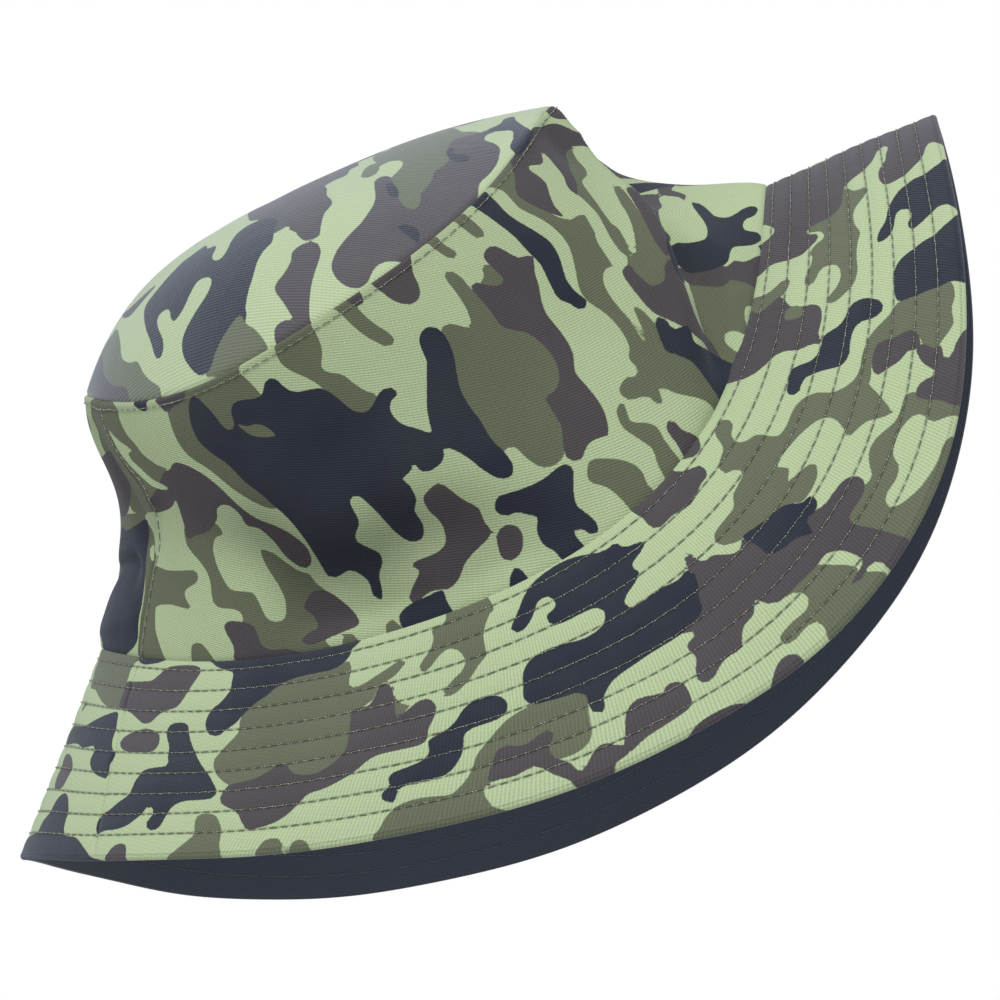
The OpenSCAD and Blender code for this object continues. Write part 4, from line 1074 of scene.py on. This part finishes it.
class Signal:
    """One output of a shader node, with arithmetic that adds Math nodes to its tree."""

    def __init__(self, tree, socket):
        self.tree = tree
        self.socket = socket

    def node(self, kind, settings, inputs, output=0):
        """Adds any node: its settings first, then the values or links of its sockets."""
        made = self.tree.nodes.new(kind)
        for key, value in settings.items():
            setattr(made, key, value)
        for key, value in inputs.items():
            if isinstance(value, Signal):
                self.tree.links.new(value.socket, made.inputs[key])
            else:
                made.inputs[key].default_value = value
        return Signal(self.tree, made.outputs[output])

    def maths(self, operation, *others):
        return self.node("ShaderNodeMath", {"operation": operation}, dict(enumerate((self, *others))))

    def __add__(self, other):
        return self.maths("ADD", other)

    def __sub__(self, other):
        return self.maths("SUBTRACT", other)

    def __rsub__(self, other):
        return self.node("ShaderNodeMath", {"operation": "SUBTRACT"}, {0: other, 1: self})

    def __mul__(self, other):
        return self.maths("MULTIPLY", other)

    def soft_step(self, low, high):
        """0 below low, 1 above high, smooth between. With low above high it falls."""
        settings = {"interpolation_type": "SMOOTHSTEP"}
        return self.node("ShaderNodeMapRange", settings, {0: self, 1: low, 2: high, 3: 0.0, 4: 1.0})

    def value(self, name):
        return self.node("ShaderNodeAttribute", {"attribute_name": name}, {}, "Fac")

    def place(self):
        return self.node("ShaderNodeTexCoord", {}, {}, "Object")

    def noise(self, scale):
        inputs = {"Vector": self.place(), "Scale": scale}
        return self.node("ShaderNodeTexNoise", {}, {**inputs, **NOISE}, "Fac")

    def uneven(self, scale, strength):
        return self.noise(scale) * strength

    def patches(self, scale, low, high):
        """Soft patches: 0 where the noise is below low, 1 where it is above high."""
        return self.noise(scale).soft_step(low, high)

    def blend(self, share, under, over, kind="MIX"):
        """One colour over another, each a constant or a signal."""
        settings = {"data_type": "RGBA", "blend_type": kind}
        return self.node("ShaderNodeMix", settings, {0: share, 6: under, 7: over}, 2)

    def grey(self):
        return self.node("ShaderNodeCombineColor", {}, {0: self, 1: self, 2: self})

    def shaded(self, colour, shade):
        """A colour made darker or lighter by a number."""
        return self.blend(1.0, colour, shade.grey(), "MULTIPLY")


def linear(red, green, blue):
    """Colour given as 0 to 255 on a screen, as a shader reads it (the sRGB curve)."""
    parts = []
    for part in (red, green, blue):
        share = part / 255
        parts.append(share / 12.92 if share <= 0.04045 else ((share + 0.055) / 1.055) ** 2.4)
    return (*parts, 1.0)


LIGHT_GREEN = linear(172, 190, 149)
OLIVE = linear(96, 102, 81)
BROWN = linear(72, 67, 71)
BLACK = linear(34, 38, 52)
WORN_PRINT = linear(150, 156, 140)
LINING = linear(53, 60, 73)
WORN_LINING = linear(56, 63, 76)
THREAD = linear(92, 96, 76)
PALE_THREAD = linear(196, 198, 188)
UNDER_THREAD = linear(78, 86, 96)
STIFF_WHITE = linear(226, 226, 218)
STIFF_GREY = linear(196, 194, 180)
BLUE_HAZE = (0.78, 0.86, 1.0, 1.0)
PRINT_TINTS = dict(zip(PRINT_COLOURS, (OLIVE, BROWN, BLACK, LIGHT_GREEN, OLIVE)))
# Weave in mm, and how much of it comes from the ribs and from the floats of thread along them
RIB_PITCH = 0.63
FLOAT_PITCH = 0.9
RIB_SHARE = 0.8
FLOAT_SHARE = 0.2
# Half width of the soft edge of a printed shape, in mm
PRINT_EDGE = 0.12
# Where the groove of a stitch row starts and is deepest, in rows
GROOVE = (0.08, 0.01)
# Unevenness: waves of noise per metre, and strength (for bumps in m)
RIB_DRIFT = (140.0, 5.0)
RIB_JITTER = (900.0, 2.5)
FRAY = (1400.0, 0.3)
LUMPS = (60.0, 0.0004)
THREAD_FIBRES = (3000.0, 0.00008)
STIFF_FIBRES = (1200.0, 0.0001)
STIFF_MOTTLE = (200.0, 0.3)
# Soft patches: waves of noise per metre, and the noise at which they start and are full
WORN_PATCHES = (38.0, 0.3, 0.75)
WORN_LINING_PATCHES = (30.0, 0.35, 0.8)
PALE_THREAD_PATCHES = (260.0, 0.45, 0.68)
WORN_SHARE = 0.035
WORN_LINING_SHARE = 0.35
PATCHY_SHARE = 0.2
# Ends of a stitch are paler: where that starts and is full, from the middle of the stitch
PALE_END = (0.34, 0.46)
PALE_END_SHARE = 0.75
# Painted shade of the cloth: its full brightness, less between two ribs and less in a groove
PRINT_PAINTED_SHADE = (1.1, 0.28, 0.2)
LINING_PAINTED_SHADE = (1.08, 0.25, 0.1)
# Heights of bumps in m
RIB_HEIGHT = 0.00008
LINING_RIB_HEIGHT = 0.00006
GROOVE_DEPTH = 0.00012


def new_material(name):
    material = bpy.data.materials.new(name)
    material.use_nodes = True
    tree = material.node_tree
    return material, Signal(tree, None), tree.nodes["Principled BSDF"]


def feed(start, shader, name, signal):
    start.tree.links.new(signal.socket, shader.inputs[name])


def set_inputs(shader, values):
    for name, value in values.items():
        shader.inputs[name].default_value = value


def soft_wave(signal, pitch, uneven):
    """Smooth wave from 0 to 1 over a length in mm."""
    return (signal * (2 * math.pi / pitch) + uneven).maths("SINE") * 0.5 + 0.5


def twill(start):
    """Ribs of the cloth from 0 to 1, a little uneven."""
    uneven = start.uneven(*RIB_DRIFT) + start.uneven(*RIB_JITTER)
    ribs = soft_wave(start.value("across_ribs"), RIB_PITCH, uneven)
    floats = soft_wave(start.value("along_ribs"), FLOAT_PITCH, uneven)
    return ribs * RIB_SHARE + floats * FLOAT_SHARE


def row_groove(start):
    """1 on a stitch row of the brim, 0 between two rows."""
    position = start.value("row_turns") + 0.5
    off_row = (position.maths("FRACT") - 0.5).maths("ABSOLUTE")
    return off_row.soft_step(*GROOVE)


# Painted shade: the colour made darker between two ribs and in the groove of a stitch row
def painted_cloth_shade(weave, groove, full, between_ribs, in_groove):
    return full - (1.0 - weave) * between_ribs - groove * in_groove


def cloth_bump(start, shader, height):
    bump = start.node("ShaderNodeBump", {}, {"Strength": 1.0, "Distance": 1.0, "Height": height}, "Normal")
    feed(start, shader, "Normal", bump)


def camouflage_material(name, haze):
    """Printed twill. The haze is the pale bloom of the cloth where it is seen aslant."""
    material, start, shader = new_material(name)
    frayed = start.uneven(*FRAY) - FRAY[1] / 2
    weave = twill(start)
    groove = row_groove(start)
    colour = LIGHT_GREEN
    for print_colour, tint in PRINT_TINTS.items():
        inside = (start.value("gap_" + print_colour) + frayed).soft_step(PRINT_EDGE, -PRINT_EDGE)
        colour = start.blend(inside, colour, tint)
    colour = start.blend(start.patches(*WORN_PATCHES) * WORN_SHARE, colour, WORN_PRINT)
    # Painted shade between ribs, in stitch-row grooves and low on the front of the wall
    shade = painted_cloth_shade(weave, groove, *PRINT_PAINTED_SHADE) * (1.0 - start.value("soft_shade"))
    feed(start, shader, "Base Color", start.shaded(colour, shade))
    cloth_bump(start, shader, weave * RIB_HEIGHT - groove * GROOVE_DEPTH + start.uneven(*LUMPS))
    set_inputs(shader, {
        "Roughness": 0.85, "Specular IOR Level": 0.15,
        "Sheen Weight": haze, "Sheen Roughness": 0.5, "Sheen Tint": BLUE_HAZE})
    return material


def lining_material():
    material, start, shader = new_material("lining_cloth")
    weave = twill(start)
    groove = row_groove(start)
    colour = start.blend(start.patches(*WORN_LINING_PATCHES) * WORN_LINING_SHARE, LINING, WORN_LINING)
    # Painted shade between ribs and in stitch-row grooves
    feed(start, shader, "Base Color", start.shaded(colour, painted_cloth_shade(weave, groove, *LINING_PAINTED_SHADE)))
    cloth_bump(start, shader, weave * LINING_RIB_HEIGHT - groove * GROOVE_DEPTH + start.uneven(*LUMPS))
    set_inputs(shader, {
        "Roughness": 0.8, "Specular IOR Level": 0.25, "Sheen Weight": 0.15, "Sheen Roughness": 0.5})
    return material


def thread_material():
    material, start, shader = new_material("sewing_thread")
    patchy = start.patches(*PALE_THREAD_PATCHES)
    from_middle = (start.value("along_stitch") - 0.5).maths("ABSOLUTE")
    pale = from_middle.soft_step(*PALE_END) * PALE_END_SHARE + patchy * PATCHY_SHARE
    upper = start.blend(pale, THREAD, PALE_THREAD)
    feed(start, shader, "Base Color", start.blend(start.value("under_cloth"), upper, UNDER_THREAD))
    cloth_bump(start, shader, start.uneven(*THREAD_FIBRES))
    set_inputs(shader, {"Roughness": 0.6})
    return material


def stiffener_material():
    material, start, shader = new_material("stiff_ply")
    feed(start, shader, "Base Color", start.blend(start.uneven(*STIFF_MOTTLE), STIFF_WHITE, STIFF_GREY))
    cloth_bump(start, shader, start.uneven(*STIFF_FIBRES))
    set_inputs(shader, {"Roughness": 0.9})
    return material


# Stitches: lengths in m, then shares of the bow, the turn askew in radians and the spread of sizes

STITCH_INPUTS = [
    ("Stitch length", "NodeSocketFloat", 0.0023),
    ("Stitch gap", "NodeSocketFloat", 0.0004),
    ("Thread radius", "NodeSocketFloat", 0.00011),
    ("Bow", "NodeSocketFloat", 0.00016),
    ("Seed", "NodeSocketInt", 4),
    ("Thread", "NodeSocketMaterial", None),
]
BOW_TOP = 1.4
BOW_END = -0.1
ASKEW = 0.09
STITCH_SIZES = (0.86, 1.08)


def stitch_tree():
    """Lays short bowed stitches along a line, each with its middle lifted off the cloth."""
    tree = bpy.data.node_groups.new("stitch_row", "GeometryNodeTree")
    tree.interface.new_socket("Line", in_out="INPUT", socket_type="NodeSocketGeometry")
    for name, kind, value in STITCH_INPUTS:
        socket = tree.interface.new_socket(name, in_out="INPUT", socket_type=kind)
        if value is not None:
            socket.default_value = value
    tree.interface.new_socket("Stitches", in_out="OUTPUT", socket_type="NodeSocketGeometry")
    entry = tree.nodes.new("NodeGroupInput")
    leave = tree.nodes.new("NodeGroupOutput")
    start = Signal(tree, None)

    def given(name):
        return Signal(tree, entry.outputs[name])

    def vector(parts):
        return start.node("ShaderNodeCombineXYZ", {}, parts)

    def pick(low, high, seed):
        return start.node(
            "FunctionNodeRandomValue", {"data_type": "FLOAT"}, {2: low, 3: high, "Seed": seed}, 1)

    half = given("Stitch length") * 0.5
    sunk = given("Bow") * BOW_END
    bow = start.node("GeometryNodeCurveQuadraticBezier", {}, {
        "Resolution": 6,
        "Start": vector({0: half * -1.0, 2: sunk}),
        "Middle": vector({2: given("Bow") * BOW_TOP}),
        "End": vector({0: half, 2: sunk})})
    ring = start.node(
        "GeometryNodeCurvePrimitiveCircle", {}, {"Resolution": 5, "Radius": given("Thread radius")})
    measured = start.node("GeometryNodeStoreNamedAttribute", {"data_type": "FLOAT", "domain": "POINT"}, {
        "Geometry": bow, "Name": "along_stitch", "Value": start.node("GeometryNodeSplineParameter", {}, {})})
    stitch = start.node("GeometryNodeCurveToMesh", {}, {0: measured, 1: ring, "Fill Caps": True})
    line = start.node("GeometryNodeMeshToCurve", {}, {0: given("Line")})
    pitch = given("Stitch length") + given("Stitch gap")
    spaced = start.node("GeometryNodeResampleCurve", {"mode": "LENGTH"}, {"Curve": line, "Length": pitch})
    out = start.node("GeometryNodeInputNamedAttribute", {"data_type": "FLOAT_VECTOR"}, {"Name": "out"})
    along = start.node("GeometryNodeInputTangent", {}, {})
    facing = start.node(
        "FunctionNodeAxesToRotation", {"primary_axis": "Z", "secondary_axis": "X"}, {0: out, 1: along})
    askew = vector({2: pick(-ASKEW, ASKEW, given("Seed"))})
    turn = start.node("FunctionNodeEulerToRotation", {}, {0: askew})
    turned = start.node("FunctionNodeRotateRotation", {"rotation_space": "LOCAL"}, {0: facing, 1: turn})
    size = pick(*STITCH_SIZES, given("Seed") + 1.0)
    laid = start.node("GeometryNodeInstanceOnPoints", {}, {
        "Points": spaced, "Instance": stitch, "Rotation": turned, "Scale": size})
    real = start.node("GeometryNodeRealizeInstances", {}, {0: laid})
    smooth = start.node("GeometryNodeSetShadeSmooth", {}, {0: real})
    done = start.node("GeometryNodeSetMaterial", {}, {"Geometry": smooth, "Material": given("Thread")})
    tree.links.new(done.socket, leave.inputs[0])
    return tree


def stitch_line(name, face, angle, share, heights, closed, tree, thread, seed):
    """Stitches along a line on a face, as a plain mesh.

    A second height puts the lower thread under the cloth.
    """
    count = len(angle)
    out = square_out(face, angle, share)
    points = np.concatenate([layer(face, angle, share, height) for height in heights]) * MM
    under = np.repeat(np.arange(len(heights)), count).astype(np.float32)
    out = np.concatenate([out, -out])[:len(points)].astype(np.float32)
    last = count if closed else count - 1
    edges = [
        (side * count + i, side * count + (i + 1) % count)
        for side in range(len(heights))
        for i in range(last)
    ]
    mesh = bpy.data.meshes.new(name + "_line")
    mesh.from_pydata(points.tolist(), edges, [])
    mesh.attributes.new("out", "FLOAT_VECTOR", "POINT").data.foreach_set("vector", out.ravel())
    mesh.attributes.new("under_cloth", "FLOAT", "POINT").data.foreach_set("value", under)
    holder = placed(name + "_line", mesh)
    modifier = holder.modifiers.new("stitches", "NODES")
    modifier.node_group = tree
    chosen = {"Seed": seed, "Thread": thread}
    for item in tree.interface.items_tree:
        if item.in_out == "INPUT" and item.name in chosen:
            modifier[item.identifier] = chosen[item.name]
    depsgraph = bpy.context.evaluated_depsgraph_get()
    plain = bpy.data.meshes.new_from_object(holder.evaluated_get(depsgraph))
    bpy.data.objects.remove(holder)
    piece = placed(name, plain)
    plain.name = name
    return piece


# Making the hat

# Each piece: the end of its node's name, and the cloth it is cut from (width and length in m, area in m2)
CUTS = {
    "tip": ("tip", (0.146, 0.146, 0.0163)),
    "front_panel": ("front_panel", (0.297, 0.09, 0.0168)),
    "back_panel": ("back_panel", (0.297, 0.09, 0.0176)),
    "front_brim": ("brim_front", (0.36, 0.11, 0.0180)),
    "back_brim": ("brim_back", (0.36, 0.11, 0.0195)),
}
STIFF_CUTS = {"front": (0.35, 0.10, 0.0152), "back": (0.35, 0.10, 0.0170)}
OUTER = {"tip": outer_tip, "panel": outer_wall, "brim": outer_brim}
HAZE = {"tip": 0.57, "panel": 0.12, "brim": 0.28}


def dress(piece, node, material):
    if material is not None:
        piece.data.materials.clear()
        piece.data.materials.append(material)
    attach(piece, BODY)
    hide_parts(node)
    return piece


def make_cloth():
    camouflage = {part: camouflage_material(f"camouflage_{part}", haze) for part, haze in HAZE.items()}
    lining = lining_material()
    stiff = stiffener_material()
    outer = {name: OUTER[part_of(name)](name + "_cloth", piece_grid(name, CLOTH_STEP)) for name in CUTS}
    for name, (node, cut) in CUTS.items():
        piece = dress(outer[name], "outer_" + node, camouflage[part_of(name)])
    for name, (node, cut) in CUTS.items():
        piece = dress(lining_piece(name), "lining_" + node, lining)
    for side, cut in STIFF_CUTS.items():
        piece = dress(stiffener(side), "brim_stiffener_" + side, stiff)


# Heights of the thread over its face, in mm
THROUGH_BRIM = [0.0, -BRIM_T]
OVER_WELT = [0.25]
OVER_SIDE = [0.12]
# Side rows: distance from the seam and radius of the wall in mm, first and last share, steps and seed
SIDE_ROW_IN = 1.6
SIDE_RADIUS = 80
SIDE_SHARES = (0.04, 0.985)
SIDE_STEPS = 60
SIDE_SEED = 40
# Steps of a row that goes all round the hat
ROUND_STEPS = 720


def make_stitches():
    tree = stitch_tree()
    thread = thread_material()
    turns = np.linspace(0, FULL_TURN, ROUND_STEPS, endpoint=False)
    rows = [
        ("tip_topstitch", wall_face, TIP_ROW, OVER_WELT),
        ("head_seam_topstitch", brim_face, HEAD_ROW, THROUGH_BRIM),
    ]
    for i in range(1, ROWS + 1):
        rows.append((f"brim_row_{i}", brim_face, HEAD_ROW + i * ROW_STEP, THROUGH_BRIM))
    for seed, (node, face, share, heights) in enumerate(rows):
        shares = np.full(turns.shape, share)
        piece = stitch_line(node + "_stitches", face, turns, shares, heights, True, tree, thread, seed)
        dress(piece, node, None)
    shares = np.linspace(*SIDE_SHARES, SIDE_STEPS)
    for node, seam in (("side_topstitch_left", left_wall_seam), ("side_topstitch_right", right_seam)):
        angle = seam(shares) + np.degrees(SIDE_ROW_IN / SIDE_RADIUS)
        piece = stitch_line(
            node + "_stitches", wall_face, angle, shares, OVER_SIDE, False, tree, thread, SIDE_SEED)
        dress(piece, node, None)


# Camera, floor and light: angles in degrees, the camera's place and lens in mm, the rest in m and W

VIEW = {
    "turn": 10.0, "rise": -5.34, "roll": 36.29,
    "distance": 920, "right": 1.43, "up": 3.25, "lens": 141.97, "sensor": 36,
}
NEAREST_SEEN = 0.01
FLOOR_Z = -0.30
FLOOR_HALF = 1.15
FLOOR_GREY = 0.6
FLOOR_GLOW = 0.7
WORLD_LIGHT = 0.55
# Name, place, power and size
LIGHTS = [
    ("key", (0.75, -0.85, 1.5), 22, 0.9),
    ("fill", (-0.9, -1.1, 0.4), 3, 0.8),
    ("low_right", (1.2, -0.5, -0.15), 2.5, 0.6),
]


def make_camera():
    turn, rise, roll = (math.radians(VIEW[key]) for key in ("turn", "rise", "roll"))
    back = Vector((math.sin(turn) * math.cos(rise), -math.cos(turn) * math.cos(rise), math.sin(rise)))
    right = Vector((math.cos(turn), math.sin(turn), 0))
    up = back.cross(right)
    place = (VIEW["right"] * right + VIEW["up"] * up + VIEW["distance"] * back) * MM
    rolled_right = math.cos(roll) * right - math.sin(roll) * up
    rolled_up = math.sin(roll) * right + math.cos(roll) * up
    data = bpy.data.cameras.new("camera")
    data.lens = VIEW["lens"]
    data.sensor_width = VIEW["sensor"]
    data.clip_start = NEAREST_SEEN
    camera = placed("camera", data)
    axes = Matrix((rolled_right, rolled_up, back)).transposed().to_4x4()
    camera.matrix_world = Matrix.Translation(place) @ axes
    bpy.context.scene.camera = camera


def seen_directly(start):
    """1 for rays that show the background itself, or its picture in gloss or glass."""
    path = start.tree.nodes.new("ShaderNodeLightPath")
    camera = Signal(start.tree, path.outputs["Is Camera Ray"])
    glossy = Signal(start.tree, path.outputs["Is Glossy Ray"])
    through = Signal(start.tree, path.outputs["Is Transmission Ray"])
    return camera.maths("MAXIMUM", glossy).maths("MAXIMUM", through)


def make_floor():
    """Pale floor that looks white where no shadow falls, and is clear from below."""
    mesh = bpy.data.meshes.new("floor")
    corners = [(x * FLOOR_HALF, y * FLOOR_HALF, FLOOR_Z) for x, y in ((-1, -1), (1, -1), (1, 1), (-1, 1))]
    mesh.from_pydata(corners, [], [(0, 1, 2, 3)])
    floor = placed("floor", mesh)
    material, start, shader = new_material("pale_floor")
    set_inputs(shader, {
        "Base Color": (FLOOR_GREY, FLOOR_GREY, FLOOR_GREY, 1), "Roughness": 0.9, "Emission Strength": 1.0})
    feed(start, shader, "Emission Color", (seen_directly(start) * FLOOR_GLOW).grey())
    tree = start.tree
    clear = tree.nodes.new("ShaderNodeBsdfTransparent")
    behind = Signal(tree, tree.nodes.new("ShaderNodeNewGeometry").outputs["Backfacing"])
    show = start.node("ShaderNodeMixShader", {}, {
        0: behind, 1: Signal(tree, shader.outputs[0]), 2: Signal(tree, clear.outputs[0])})
    tree.links.new(show.socket, tree.nodes["Material Output"].inputs["Surface"])
    mesh.materials.append(material)


def make_world():
    world = bpy.data.worlds.new("studio")
    bpy.context.scene.world = world
    world.use_nodes = True
    shader = world.node_tree.nodes["Background"]
    start = Signal(world.node_tree, None)
    set_inputs(shader, {"Color": (1, 1, 1, 1)})
    feed(start, shader, "Strength", seen_directly(start) * (1 - WORLD_LIGHT) + WORLD_LIGHT)


def make_light(name, place, power, size):
    data = bpy.data.lights.new(name, "AREA")
    data.energy = power
    data.size = size
    lamp = placed(name, data)
    lamp.location = place
    lamp.rotation_euler = Vector(place).to_track_quat("Z", "Y").to_euler()


make_camera()
make_floor()
make_world()
for light in LIGHTS:
    make_light(*light)
make_cloth()
make_stitches()
bpy.context.scene.view_settings.view_transform = "Standard"
